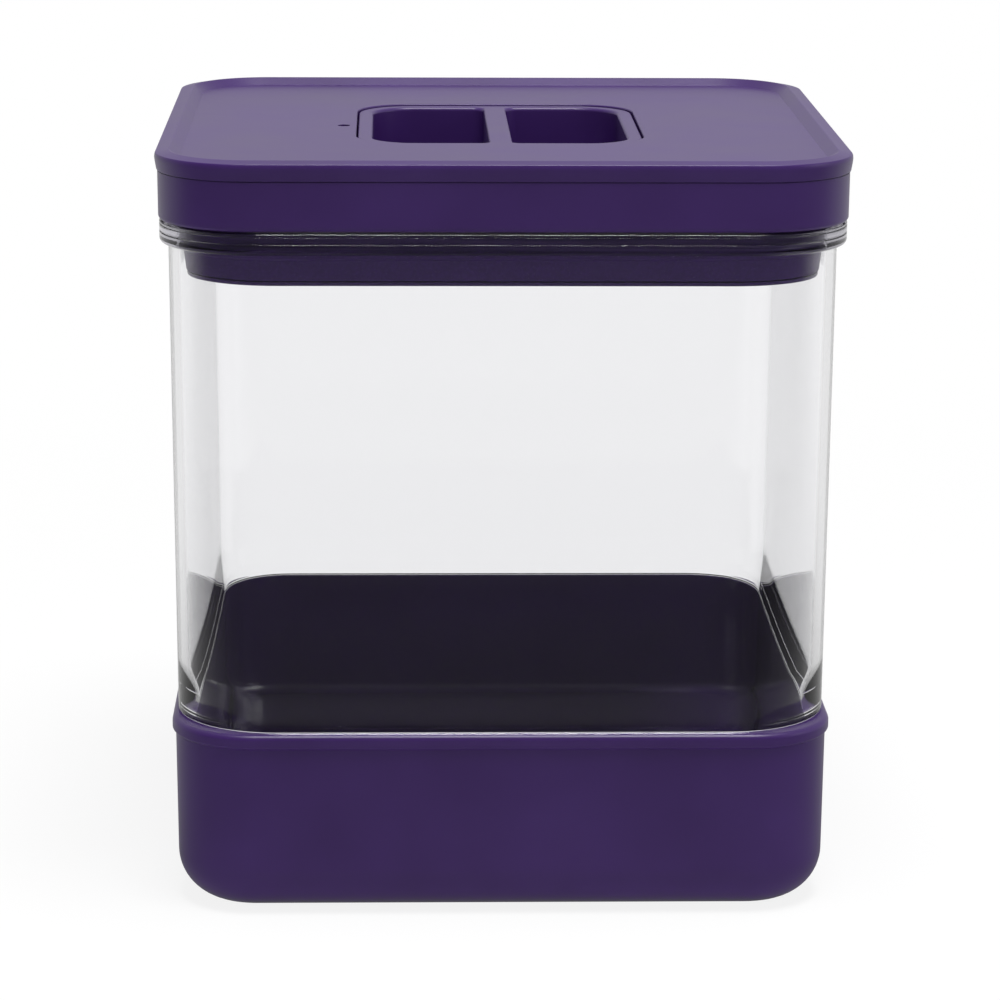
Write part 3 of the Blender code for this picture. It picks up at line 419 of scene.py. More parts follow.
def round_rim(piece, height, radius):
    """Bevel every edge of a level rim that has a wall below it."""
    enter(piece, "EDGE")
    count = pick(piece, "edges", lambda edge: is_level_at(edge, height) and has_wall(edge))
    bevel_edges(radius, SMALL_ARC_SEGMENTS)
    return count


def smooth(piece, angle=30):
    """Smooth the rounded parts and keep flats flat, by face area."""
    activate(piece)
    bpy.ops.object.shade_smooth_by_angle(angle=math.radians(angle))
    apply_modifier(piece, "WEIGHTED_NORMAL", {"keep_sharp": True, "weight": 50})


def dress(piece, material, node, body):
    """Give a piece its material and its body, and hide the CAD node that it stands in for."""
    piece.data.materials.clear()
    piece.data.materials.append(material)
    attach(piece, body)
    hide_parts(node)
    size = [round(value / MM, 2) for value in piece.dimensions]
    print(piece.name, "size in mm", size, "faces", len(piece.data.polygons))


# %% [markdown]
# ## The base boot
# The boot is a thick-walled cup with a soft, wide foot and a bead along its top
# edge, pressed onto the jar. The block starts as the bead's widest band. Its
# bottom cap goes down the wall and round the foot, and its top cap over the
# bead. A second block, with the jar's rounder corner, cuts the bore, so the rim
# is widest at its corners. The front is left smooth and bare.

# %% Model the base boot
BOOT_HEIGHT = 49.8 * MM
BOOT_WALL_INSET = 3.6 * MM
BOOT_FOOT_INSET = 3.95 * MM
BOOT_FOOT_RADIUS = 13.0 * MM
BOOT_FOOT_SEGMENTS = 16
BEAD_INSET = 2.7 * MM
BEAD_UNDER = 45.9 * MM
BEAD_LOW_RADIUS = 0.9 * MM
BEAD_LOW_END = -75
BEAD_LOW_SEGMENTS = 6
BEAD_TOP_RADIUS = 1.5 * MM
BOOT_BORE_INSET = 5.6 * MM
BOOT_FLOOR = 2.4 * MM
BOOT_FILLET = 0.25 * MM
BOOT_FACE_RADIUS = 11.0 * MM
OVERRUN = 2.0 * MM
ROOT = 0.8 * MM

bead_low = BEAD_UNDER + BEAD_LOW_RADIUS
bead_high = BOOT_HEIGHT - BEAD_TOP_RADIUS
boot = body_block("base_boot_shell", BEAD_INSET, bead_low, bead_high)
foot = arc(BOOT_FOOT_INSET + BOOT_FOOT_RADIUS, BOOT_FOOT_RADIUS, BOOT_FOOT_RADIUS, 0, -90,
           BOOT_FOOT_SEGMENTS)
under_bead = arc(BOOT_WALL_INSET, bead_low, BEAD_LOW_RADIUS, 0, BEAD_LOW_END, BEAD_LOW_SEGMENTS)
carry_cap(boot, -1, under_bead + [(BOOT_WALL_INSET, BEAD_UNDER - BOOT_FILLET)] + foot)

carry_cap(boot, 1, arc(BEAD_INSET + BEAD_TOP_RADIUS, bead_high, BEAD_TOP_RADIUS, 0, 90))

overrun_top = BOOT_HEIGHT + OVERRUN
boot_bore = body_block("boot_bore", BOOT_BORE_INSET, BOOT_HEIGHT, overrun_top, WALL_CORNER_RADIUS)
floor_inset = BOOT_FOOT_INSET + BOOT_BORE_INSET - BOOT_WALL_INSET + BOOT_FACE_RADIUS
inner_foot = arc(floor_inset, BOOT_FLOOR + BOOT_FACE_RADIUS, BOOT_FACE_RADIUS, 0, -90,
                 WIDE_ARC_SEGMENTS)
carry_cap(boot_bore, -1, [(BOOT_BORE_INSET, BOOT_HEIGHT)] + inner_foot)
join_or_cut(boot, boot_bore, "DIFFERENCE")
print("rim edges of the boot:", round_rim(boot, BOOT_HEIGHT, BOOT_FILLET))
smooth(boot)
dress(boot, purple_shell, "base_boot", "container")

# %% [markdown]
# ## The clear jar
# The jar's wall is 2.6 mm thick. Below the boot's edge it steps in, so that it
# drops into the boot, and its inner skin swells inwards there. Its mouth has a
# wide collar under the lid, with two fine grooves that run all the way round.
# The grooves are cut by extruding two bands of faces inwards. The collar has a
# corner between the lid's and the wall's, so it stands out most at the corners.
# Wall and collar are joined, and a third block cuts the inside.

# %% Model the jar
JAR_BOTTOM = 2.7 * MM
JAR_RIM = 182.0 * MM
JAR_STEP = 50.1 * MM
COLLAR_INSET = 0.9 * MM
COLLAR_CORNER_RADIUS = 27.0 * MM
COLLAR_RADIUS = 1.3 * MM
GROOVE_DEPTH = 0.35 * MM
GROOVE_SOFT = 0.14 * MM
GROOVE_HEIGHTS = [(179.3 * MM, 179.7 * MM), (181.2 * MM, 181.6 * MM)]
JAR_INSET = 3.0 * MM
JAR_LOW_INSET = 4.04 * MM
JAR_BASE_INSET = 5.9 * MM
JAR_BASE_LOW_INSET = 6.25 * MM
JAR_FOOT_RADIUS = 10.7 * MM
JAR_BORE_INSET = 5.6 * MM
JAR_BORE_LOW_INSET = 6.64 * MM
JAR_SWELL_TOP = 64.1 * MM
SWELL_STEPS = 12
JAR_BASE_BORE_INSET = 8.1 * MM
JAR_FLOOR = 5.5 * MM
JAR_BORE_FOOT_RADIUS = 9.6 * MM
JAR_EDGE = 0.4 * MM

jar = body_block("clear_jar", JAR_INSET, COLLAR_UNDER, JAR_RIM - COLLAR_RADIUS, WALL_CORNER_RADIUS)
wall = [(JAR_INSET, COLLAR_UNDER), (JAR_LOW_INSET, JAR_STEP + JAR_EDGE)]
step_edge = arc(JAR_LOW_INSET + JAR_EDGE, JAR_STEP + JAR_EDGE, JAR_EDGE, 0, -90, SMALL_ARC_SEGMENTS)
jar_foot = arc(JAR_BASE_LOW_INSET + JAR_FOOT_RADIUS, JAR_BOTTOM + JAR_FOOT_RADIUS,
               JAR_FOOT_RADIUS, 0, -90, WIDE_ARC_SEGMENTS)
carry_cap(jar, -1, wall + step_edge[1:] + [(JAR_BASE_INSET, JAR_STEP)] + jar_foot)

groove_faces = [height for band in GROOVE_HEIGHTS for height in band]
top_edge = JAR_EDGE / 2
band_top = JAR_RIM - top_edge
collar = body_block("jar_collar", COLLAR_INSET, COLLAR_UNDER + COLLAR_RADIUS, groove_faces[0],
                    COLLAR_CORNER_RADIUS)
collar_rise = [(COLLAR_INSET, height) for height in groove_faces + [band_top]]
collar_rim = arc(COLLAR_INSET + top_edge, band_top, top_edge, 0, 90, EDGE_SEGMENTS)
carry_cap(collar, 1, collar_rise + collar_rim[1:])
carry_cap(collar, -1, arc(COLLAR_INSET + COLLAR_RADIUS, COLLAR_UNDER + COLLAR_RADIUS,
                          COLLAR_RADIUS, 0, -90))
for bottom, top in GROOVE_HEIGHTS:
    extrude_band(collar, bottom, top, GROOVE_DEPTH)


def is_groove_edge(edge):
    """True for an edge between a groove's level side and an upright face."""
    leans = [abs(face.normal.z) for face in edge.link_faces]
    return (any(is_level_at(edge, height) for height in groove_faces)
            and max(leans) > 1 - UPRIGHT and min(leans) < UPRIGHT)


enter(collar, "EDGE")
grooved = pick(collar, "edges", is_groove_edge)
bevel_edges(GROOVE_SOFT, EDGE_SEGMENTS)
print("groove edges softened:", grooved)
join_or_cut(jar, collar, "UNION")

jar_bore = body_block("jar_bore", JAR_BORE_INSET, JAR_RIM, JAR_RIM + OVERRUN, WALL_CORNER_RADIUS)
swell = []
for step in range(SWELL_STEPS + 1):
    share = step / SWELL_STEPS
    ease = share * share * (3 - 2 * share)
    inset = JAR_BORE_LOW_INSET + (JAR_BASE_BORE_INSET - JAR_BORE_LOW_INSET) * ease
    swell.append((inset, JAR_SWELL_TOP - share * (JAR_SWELL_TOP - JAR_STEP)))
bore_foot = arc(JAR_BASE_BORE_INSET + JAR_EDGE + JAR_BORE_FOOT_RADIUS,
                JAR_FLOOR + JAR_BORE_FOOT_RADIUS, JAR_BORE_FOOT_RADIUS, 0, -90, WIDE_ARC_SEGMENTS)
carry_cap(jar_bore, -1, [(JAR_BORE_INSET, JAR_RIM)] + swell + bore_foot)
join_or_cut(jar, jar_bore, "DIFFERENCE")
print("rim edges of the jar:", round_rim(jar, JAR_RIM, JAR_EDGE))
smooth(jar)
dress(jar, clear_wall, "jar", "container")

# %% [markdown]
# ## The lid's cover
# The cover is a shallow tray turned over. A rim stands 2 mm above the deck. Its
# ridge is on the inner side: from there it slopes down to the deck in a plane
# that ends in a sharp crease, and it falls a little towards the outer edge,
# which rounds off in a low ellipse. Further down the rim's face draws in, and a
# fine groove below it marks the top of the skirt. Under the deck are the button's
# guide, four screw bosses and stiffening ribs. They are separate blocks and
# cylinders, joined with Boolean modifiers, because they cross each other and
# the deck's underside.

# %% Model the lid cover
CREST = 200.5 * MM
DECK = 198.5 * MM
DECK_UNDER = 196.5 * MM
CREST_ACROSS = 0.4 * MM
CREST_DROP = 1.2 * MM
CREST_FALL = 0.6 * MM
CREST_END = 86
CREST_STEPS = 12
CREST_WIDTH = 3.6 * MM
SLOPE_WIDTH = 2.9 * MM
RIDGE_ROUND = 0.6 * MM
RIDGE_LEAN = 11
SLOPE_TILT = 37
LID_BEAD_UNDER = 195.5 * MM
LID_BEAD_RADIUS = 0.2 * MM
LID_BEAD_TAPER = 0.45 * MM
LID_BEAD_WIDEST = 198.6 * MM
TAPER_STEPS = 8
TAPER_POWER = 1.2
LID_GROOVE = 0.25 * MM
SKIRT_INSET = 0.7 * MM
SKIRT_LOW_INSET = 0.8 * MM
SKIRT_BOTTOM = 182.6 * MM
SKIRT_RADIUS = 1.2 * MM
COVER_BORE_INSET = 2.7 * MM

shoulder = CREST - CREST_FALL - CREST_DROP
cover = body_block("lid_cover_shell", 0, LID_BEAD_WIDEST, shoulder)
crest = []
for step in range(CREST_STEPS + 1):
    angle = math.radians(CREST_END * step / CREST_STEPS)
    crest.append((CREST_ACROSS * (1 - math.cos(angle)), shoulder + CREST_DROP * math.sin(angle)))
slope = arc(CREST_WIDTH, CREST - RIDGE_ROUND, RIDGE_ROUND, 90 - RIDGE_LEAN, 90 + SLOPE_TILT)
carry_cap(cover, 1, crest + slope + [(CREST_WIDTH + SLOPE_WIDTH, DECK)])

taper_bottom = LID_BEAD_UNDER + LID_BEAD_RADIUS
taper = []
for step in range(TAPER_STEPS):
    share = step / TAPER_STEPS
    taper.append((LID_BEAD_TAPER * share ** TAPER_POWER,
                  LID_BEAD_WIDEST - share * (LID_BEAD_WIDEST - taper_bottom)))
under_lid_bead = arc(LID_BEAD_TAPER + LID_BEAD_RADIUS, taper_bottom, LID_BEAD_RADIUS, 0, -90,
                     SMALL_ARC_SEGMENTS)
groove_bottom = LID_BEAD_UNDER - LID_GROOVE
skirt = [(SKIRT_INSET, LID_BEAD_UNDER), (SKIRT_INSET, groove_bottom)]
skirt_foot = arc(SKIRT_LOW_INSET + SKIRT_RADIUS, SKIRT_BOTTOM + SKIRT_RADIUS, SKIRT_RADIUS, 0, -90)
inside = [(COVER_BORE_INSET, SKIRT_BOTTOM), (COVER_BORE_INSET, DECK_UNDER)]
carry_cap(cover, -1, taper + under_lid_bead + skirt + skirt_foot + inside)
extrude_band(cover, groove_bottom, LID_BEAD_UNDER, LID_GROOVE)
print("cover shell faces:", len(cover.data.polygons))

# %% [markdown]
# The button's opening is cut with a rounded block, and the little vent hole left
# of it with a cylinder. The cuts leave sharp edges in the deck. The opening's
# edge is softened a little by a bevel, and the vent's stays sharp, as on the
# real part. The cylinders have enough sides to look round from close by.

# %% Guide, bosses, ribs and openings of the cover
BUTTON_HALF_X = 38.1 * MM
BUTTON_HALF_Y = 40.1 * MM
BUTTON_RADIUS = 15.5 * MM
BUTTON_GAP = 0.4 * MM
GUIDE_WALL = 1.6 * MM
GUIDE_BOTTOM = 191.1 * MM
BOSS_PLACE = 58.0 * MM
BOSS_RADIUS = 3.6 * MM
BOSS_BOTTOM = 179.3 * MM
BORE_RADIUS = 1.7 * MM
BORE_TOP = 189.3 * MM
RIB_WIDTH = 1.4 * MM
RIB_BOTTOM = 193.5 * MM
VENT_RADIUS = 1.7 * MM
VENT_PLACE = (-42.0 * MM, -5.0 * MM)
DECK_EDGE = 0.4 * MM
VENT_REACH = 3.0 * MM
ROD_SIDES = 48


def add_rod(name, radius, low, high, place):
    """An upright cylinder primitive between two heights."""
    deselect_everything()
    bpy.ops.mesh.primitive_cylinder_add(vertices=ROD_SIDES, radius=radius, depth=high - low,
                                        location=(*place, (low + high) / 2))
    rod = bpy.context.object
    rod.name = name
    bpy.ops.object.transform_apply(location=True, rotation=True, scale=True)
    return rod


def button_block(name, grow, low, high):
    """The button's rounded outline, grown by a gap or a wall, between two heights."""
    half_x = BUTTON_HALF_X + grow
    half_y = BUTTON_HALF_Y + grow
    return rounded_block(name, (-half_x, -half_y, low), (half_x, half_y, high),
                         BUTTON_RADIUS + grow)


guide_top = DECK_UNDER + ROOT
guide = button_block("guide", BUTTON_GAP + GUIDE_WALL, GUIDE_BOTTOM, guide_top)
join_or_cut(cover, guide, "UNION")
screw_corners = [(x, y) for x in (-BOSS_PLACE, BOSS_PLACE) for y in (-BOSS_PLACE, BOSS_PLACE)]
for corner in screw_corners:
    join_or_cut(cover, add_rod("boss", BOSS_RADIUS, BOSS_BOTTOM, guide_top, corner), "UNION")
wall_place = LID_WIDTH / 2 - COVER_BORE_INSET + ROOT
ribs = [((BUTTON_HALF_X + ROOT, -RIB_WIDTH / 2), (wall_place, RIB_WIDTH / 2)),
        ((-wall_place, -RIB_WIDTH / 2), (-BUTTON_HALF_X - ROOT, RIB_WIDTH / 2)),
        ((-BOSS_PLACE, BOSS_PLACE - RIB_WIDTH / 2), (BOSS_PLACE, BOSS_PLACE + RIB_WIDTH / 2)),
        ((-BOSS_PLACE, -BOSS_PLACE - RIB_WIDTH / 2), (BOSS_PLACE, -BOSS_PLACE + RIB_WIDTH / 2))]
for near, far in ribs:
    join_or_cut(cover, add_block("rib", (*near, RIB_BOTTOM), (*far, guide_top)), "UNION")
cut_top = CREST + OVERRUN
opening = button_block("opening", BUTTON_GAP, GUIDE_BOTTOM - OVERRUN, cut_top)
join_or_cut(cover, opening, "DIFFERENCE")
vent = add_rod("vent", VENT_RADIUS, DECK_UNDER - OVERRUN, cut_top, VENT_PLACE)
join_or_cut(cover, vent, "DIFFERENCE")
for corner in screw_corners:
    bore = add_rod("bore", BORE_RADIUS, BOSS_BOTTOM - OVERRUN, BORE_TOP, corner)
    join_or_cut(cover, bore, "DIFFERENCE")

flat_reach = LID_WIDTH / 2 - CREST_WIDTH - SLOPE_WIDTH - OVERRUN


def is_opening_edge(edge):
    """True for an edge of the deck round the button's opening."""
    return (is_level_at(edge, DECK) and has_wall(edge)
            and all(max(abs(vert.co.x), abs(vert.co.y)) < flat_reach
                    and (vert.co.xy - Vector(VENT_PLACE)).length > VENT_REACH
                    for vert in edge.verts))


enter(cover, "EDGE")
rounded = pick(cover, "edges", is_opening_edge)
bevel_edges(DECK_EDGE, EDGE_SEGMENTS)
print("deck edges softened:", rounded)
smooth(cover)
dress(cover, purple_shell, "lid_cover", "lid")

# %% [markdown]
# ## The button
# The button fills the opening with a gap of 0.4 mm. Pushed down, it stops 0.4 mm
# below the deck, so the joint at its back reads as a dark line. Two deep wells
# for finger and thumb leave a bar between them, which pushes the button down and
# pulls the lid off. The block starts as the stop flange, whose top cap is inset
# and raised to the button's top. That cap is split down the middle with a
# bisect, both halves are inset by the rim's width, and the sides beside the bar
# are moved in to the bar's own width. Both faces are then pushed down and
# rounded into a floor.

# %% Model the button
BUTTON_SUNK = 0.4 * MM
BUTTON_TOP = DECK - BUTTON_SUNK
BUTTON_RIM = 4.0 * MM
BAR_WIDTH = 6.2 * MM
WELL_FLOOR = 185.0 * MM
WELL_LIP = 1.0 * MM
WELL_FILLET = 3.0 * MM
BAR_CORNER = 3.2 * MM
BAR_CORNER_SEGMENTS = 10
BUTTON_EDGE = 0.7 * MM
FLANGE = 1.4 * MM
FLANGE_TOP = 183.8 * MM
BUTTON_BOTTOM = 179.6 * MM
BUTTON_UNDER = 183.2 * MM

button = button_block("push_button", FLANGE, BUTTON_BOTTOM, FLANGE_TOP)
carry_cap(button, 1, [(0, FLANGE_TOP), (FLANGE, FLANGE_TOP), (FLANGE, BUTTON_TOP)])
hollow = FLANGE + BUTTON_RIM
carry_cap(button, -1, [(0, BUTTON_BOTTOM), (hollow, BUTTON_BOTTOM), (hollow, BUTTON_UNDER)])

enter(button, "FACE")
pick_cap(button, BUTTON_TOP, 1)
bpy.ops.mesh.bisect(plane_co=(0, 0, 0), plane_no=(1, 0, 0))
start_picking("FACE")
pick_cap(button, BUTTON_TOP, 1)
bpy.ops.mesh.inset(thickness=BUTTON_RIM, depth=0, use_individual=True)
for toward in (-1, 1):
    start_picking("VERT")
    pick(button, "verts", lambda vert: abs(vert.co.z - BUTTON_TOP) < TINY
         and abs(vert.co.x - toward * BUTTON_RIM) < TINY
         and abs(vert.co.y) < BUTTON_HALF_Y - BUTTON_RIM / 2)
    bpy.ops.transform.translate(value=(toward * (BAR_WIDTH / 2 - BUTTON_RIM), 0, 0))
well_area = (BUTTON_HALF_X - BUTTON_RIM) * BUTTON_HALF_Y
start_picking("FACE")
wells = pick(button, "faces", lambda face: face.normal.z > LEVEL and face.calc_area() > well_area)
well_depth = BUTTON_TOP - WELL_FLOOR - WELL_FILLET
bpy.ops.mesh.extrude_region_move(TRANSFORM_OT_translate={"value": (0, 0, -well_depth)})
start_picking("EDGE")
corners = pick(button, "edges", lambda edge: is_upright(edge)
               and all(abs(abs(vert.co.x) - BAR_WIDTH / 2) < TINY for vert in edge.verts))
bevel_edges(BAR_CORNER, BAR_CORNER_SEGMENTS)
print("wells:", wells, "corners beside the bar:", corners)
carry_cap(button, 1, arc(WELL_FILLET, WELL_FLOOR + WELL_FILLET, WELL_FILLET, 0, -90))

# %% [markdown]
# Fingers meet the lip of the wells, so it is well rounded. The button's outer
# edge gets a smaller radius. The windows in its skirt take the levers' tips, and
# two studs below keep the springs in place.

# %% Soften the button's edges and open its lever windows
TIP_HEIGHT = 182.6 * MM
TIP_PLACE = 36.1 * MM
LEVER_ROW = 18.0 * MM
WINDOW_HALF_Y = 2.8 * MM
WINDOW_HALF_Z = 1.5 * MM
LEVER_ARM = 20.0 * MM
HALF_TRAVEL = 3.5 * MM
LEVER_TILT = math.asin(HALF_TRAVEL / LEVER_ARM)
SPRING_ROW = 24.0 * MM
STUD_RADIUS = 4.4 * MM
STUD_HEIGHT = 1.5 * MM
LIP_SEGMENTS = 6


def in_wells(edge):
    """True for an edge that lies within the outline of the wells."""
    reach_x = BUTTON_HALF_X - BUTTON_RIM + TINY
    reach_y = BUTTON_HALF_Y - BUTTON_RIM + TINY
    return all(abs(vert.co.x) < reach_x and abs(vert.co.y) < reach_y for vert in edge.verts)


def is_top_edge(edge):
    """True for an edge of the button's top face that has a wall below it."""
    return is_level_at(edge, BUTTON_TOP) and has_wall(edge)


for wanted, radius, segments in ((True, WELL_LIP, LIP_SEGMENTS),
                                 (False, BUTTON_EDGE, SMALL_ARC_SEGMENTS)):
    enter(button, "EDGE")
    count = pick(button, "edges", lambda edge: is_top_edge(edge) and in_wells(edge) == wanted)
    bevel_edges(radius, segments)
    print("top edges rounded:", count)

lever_places = [(x, y) for x in (-1, 1) for y in (-LEVER_ROW, LEVER_ROW)]
window_near = BUTTON_HALF_X - BUTTON_RIM - OVERRUN
window_far = BUTTON_HALF_X + FLANGE + OVERRUN
flare = (window_far - TIP_PLACE) * math.tan(LEVER_TILT)
for toward, row in lever_places:
    ends = sorted((toward * window_near, toward * window_far))
    window = add_block("window", (ends[0], row - WINDOW_HALF_Y, TIP_HEIGHT - WINDOW_HALF_Z),
                       (ends[1], row + WINDOW_HALF_Y, TIP_HEIGHT + WINDOW_HALF_Z))
    enter(window, "FACE")
    pick(window, "faces", lambda face: face.normal.x * toward > LEVEL)
    bpy.ops.transform.resize(value=(1, 1, 1 + flare / WINDOW_HALF_Z))
    bpy.ops.object.mode_set(mode="OBJECT")
    join_or_cut(button, window, "DIFFERENCE")
for row in (-SPRING_ROW, SPRING_ROW):
    stud = add_rod("stud", STUD_RADIUS, BUTTON_UNDER - STUD_HEIGHT, BUTTON_UNDER + ROOT, (0, row))
    join_or_cut(button, stud, "UNION")
smooth(button)
dress(button, purple_shell, "button", "button")

# %% [markdown]
# ## The lid's inner frame
# Below the cover sits the plug, which drops into the jar. Its wall, the ledge
# that rests on the jar's rim and the tongue that carries the gasket are one
# moulding, so one block carries all of them. The trough for the springs and the
# ears for the levers' pins are joined on.

# %% Model the inner frame
LEDGE_INSET = 3.0 * MM
LEDGE = (182.3 * MM, 184.1 * MM)
PLUG_INSET = 6.2 * MM
PLUG_BORE_INSET = 8.0 * MM
PLUG_EDGE = 0.4 * MM
PLUG_FILLET = 1.0 * MM
FRAME_FLOOR = 179.0 * MM
FRAME_UNDER = 177.0 * MM
TONGUE_INSET = 11.8 * MM
TONGUE_WALL = 1.6 * MM
TONGUE_BOTTOM = 172.5 * MM
TROUGH_HALF = (13.0 * MM, 33.0 * MM)
TROUGH_RADIUS = 3.0 * MM
TROUGH_SEGMENTS = 6
TROUGH_WALL = 1.7 * MM
TROUGH_FLOOR = 172.6 * MM

lid_frame = body_block("lid_inner_frame", PLUG_INSET, FRAME_UNDER + PLUG_EDGE, LEDGE[1],
                       WALL_CORNER_RADIUS)
plug_fillet = arc(PLUG_BORE_INSET + PLUG_FILLET, FRAME_FLOOR + PLUG_FILLET, PLUG_FILLET, 0, -90,
                  SMALL_ARC_SEGMENTS)
carry_cap(lid_frame, 1, [(PLUG_INSET, LEDGE[1]), (PLUG_BORE_INSET, LEDGE[1])] + plug_fillet)
plug_edge = arc(PLUG_INSET + PLUG_EDGE, FRAME_UNDER + PLUG_EDGE, PLUG_EDGE, 0, -90,
                SMALL_ARC_SEGMENTS)
tongue_end = TONGUE_INSET + TONGUE_WALL
tongue = [(TONGUE_INSET, FRAME_UNDER), (TONGUE_INSET, TONGUE_BOTTOM), (tongue_end, TONGUE_BOTTOM),
          (tongue_end, FRAME_UNDER)]
carry_cap(lid_frame, -1, plug_edge + tongue)
ledge = body_block("ledge", LEDGE_INSET, *LEDGE)
plug_middle = (PLUG_INSET + PLUG_BORE_INSET) / 2
inside_ledge = body_block("inside_ledge", plug_middle, LEDGE[0] - OVERRUN, LEDGE[1] + OVERRUN,
                          WALL_CORNER_RADIUS)
join_or_cut(ledge, inside_ledge, "DIFFERENCE")
join_or_cut(lid_frame, ledge, "UNION")
print("inner frame faces:", len(lid_frame.data.polygons))


def trough_block(name, grow, low, high):
    """The spring trough's rounded outline, grown by its wall, between two heights."""
    half_x, half_y = (half + grow for half in TROUGH_HALF)
    return rounded_block(name, (-half_x, -half_y, low), (half_x, half_y, high),
                         TROUGH_RADIUS + grow, TROUGH_SEGMENTS)


trough = trough_block("trough", TROUGH_WALL, TROUGH_FLOOR - TROUGH_WALL, FRAME_FLOOR - ROOT)
join_or_cut(lid_frame, trough, "UNION")

# %% [markdown]
# Each lever turns between two ears. An ear is a block with a cylinder on top,
# and the pin's hole goes through both. One pair is made here for every lever.

# %% Ears, windows and holes of the inner frame
PIVOT_PLACE = 56.1 * MM
PIVOT_HEIGHT = 186.1 * MM
EAR_RADIUS = 3.5 * MM
EAR_THICKNESS = 1.8 * MM
PIN_BORE_RADIUS = 1.5 * MM
FINGER_PLACE = 61.6 * MM
RISER_WINDOW = (1.8 * MM, 5.2 * MM)
SCREW_HOLE_RADIUS = 1.7 * MM
BAR_SIDES = 40


def add_bar(name, radius, centre, low_y, high_y):
    """A cylinder primitive that lies along Y."""
    deselect_everything()
    bpy.ops.mesh.primitive_cylinder_add(vertices=BAR_SIDES, radius=radius, depth=high_y - low_y,
                                        location=(centre[0], (low_y + high_y) / 2, centre[1]),
                                        rotation=(math.pi / 2, 0, 0))
    bar = bpy.context.object
    bar.name = name
    bpy.ops.object.transform_apply(location=True, rotation=True, scale=True)
    return bar


for toward, row in lever_places:
    centre_x = toward * PIVOT_PLACE
    for side in (-1, 1):
        ends = sorted((row + side * WINDOW_HALF_Y, row + side * (WINDOW_HALF_Y + EAR_THICKNESS)))
        ear = add_block("ear", (centre_x - EAR_RADIUS, ends[0], FRAME_FLOOR - ROOT),
                        (centre_x + EAR_RADIUS, ends[1], PIVOT_HEIGHT))
        join_or_cut(ear, add_bar("ear_top", EAR_RADIUS, (centre_x, PIVOT_HEIGHT), *ends), "UNION")
        join_or_cut(lid_frame, ear, "UNION")
    reach = WINDOW_HALF_Y + EAR_THICKNESS + OVERRUN
    bore = add_bar("pin_bore", PIN_BORE_RADIUS, (centre_x, PIVOT_HEIGHT), row - reach, row + reach)
    join_or_cut(lid_frame, bore, "DIFFERENCE")
    finger_x = toward * FINGER_PLACE
    slot = add_block("riser_window",
                     (finger_x - RISER_WINDOW[0], row - RISER_WINDOW[1], FRAME_UNDER - OVERRUN),
                     (finger_x + RISER_WINDOW[0], row + RISER_WINDOW[1], FRAME_FLOOR + OVERRUN))
    join_or_cut(lid_frame, slot, "DIFFERENCE")
trough_inside = trough_block("trough_inside", 0, TROUGH_FLOOR, FRAME_FLOOR + OVERRUN)
join_or_cut(lid_frame, trough_inside, "DIFFERENCE")
for corner in screw_corners:
    hole = add_rod("screw_hole", SCREW_HOLE_RADIUS, FRAME_UNDER - OVERRUN, FRAME_FLOOR + OVERRUN,
                   corner)
    join_or_cut(lid_frame, hole, "DIFFERENCE")
for row in (-SPRING_ROW, SPRING_ROW):
    stud = add_rod("stud", STUD_RADIUS, TROUGH_FLOOR - ROOT, TROUGH_FLOOR + STUD_HEIGHT, (0, row))
    join_or_cut(lid_frame, stud, "UNION")
smooth(lid_frame)
dress(lid_frame, purple_inner, "lid_frame", "lid")

# %% [markdown]
# ## The gasket
# The gasket is a soft ring below the plug. A thin lip at its top meets the jar's
# wall, and the ring tapers away below it. The block is shaped like the others,
# and its two caps are then bridged to open the ring.

# %% Model the gasket
LIP = (175.2 * MM, 176.0 * MM)
LIP_INSET = 5.9 * MM
GASKET_INSET = 6.9 * MM
GASKET_TOP = 176.7 * MM
GASKET_UNDER_LIP = 174.5 * MM
GASKET_FOOT_INSET = 7.5 * MM
GASKET_BOTTOM = 169.1 * MM
GASKET_EDGE = 0.4 * MM
GASKET_BORE_INSET = 11.5 * MM

gasket = body_block("silicone_gasket", LIP_INSET, *LIP, WALL_CORNER_RADIUS)
gasket_foot = arc(GASKET_FOOT_INSET + GASKET_EDGE, GASKET_BOTTOM + GASKET_EDGE, GASKET_EDGE,
                  0, -90, SMALL_ARC_SEGMENTS)
carry_cap(gasket, -1, [(LIP_INSET, LIP[0]), (GASKET_INSET, GASKET_UNDER_LIP)] + gasket_foot
          + [(GASKET_BORE_INSET, GASKET_BOTTOM)])
carry_cap(gasket, 1, [(LIP_INSET, LIP[1]), (GASKET_INSET, GASKET_TOP),
                      (GASKET_BORE_INSET, GASKET_TOP)])
enter(gasket, "FACE")
pick_cap(gasket, GASKET_BOTTOM, -1)
pick_cap(gasket, GASKET_TOP, 1)
bm = bmesh.from_edit_mesh(gasket.data)
caps = sorted((face for face in bm.faces if face.select), key=lambda face: face.calc_area())[-2:]
for face in bm.faces:
    face.select_set(face in caps)
bmesh.update_edit_mesh(gasket.data)
bpy.ops.mesh.bridge_edge_loops()
bpy.ops.object.mode_set(mode="OBJECT")
smooth(gasket)
dress(gasket, silicone, "seal_gasket", "lid")

# %% [markdown]
# ## The sealing plate
# The plate hangs from the levers by four risers and squeezes the gasket from
# below. Its edge is the dark line that shows through the jar. A low wall on it
# slides inside the frame's tongue.

# %% Model the sealing plate
PLATE = (167.8 * MM, 168.8 * MM)
PLATE_INSET = 7.8 * MM
PLATE_EDGE = 0.4 * MM
SPIGOT_INSET = 13.8 * MM
SPIGOT_WALL = 1.4 * MM
SPIGOT_TOP = 175.1 * MM
RISER_HALF = (1.2 * MM, 4.6 * MM)
RISER_TOP = 190.38 * MM
EYE_HALF = (2.8 * MM, 1.713 * MM)
FINGER_HEIGHT = 187.063 * MM
PLATE_RIB_HEIGHT = 3.0 * MM

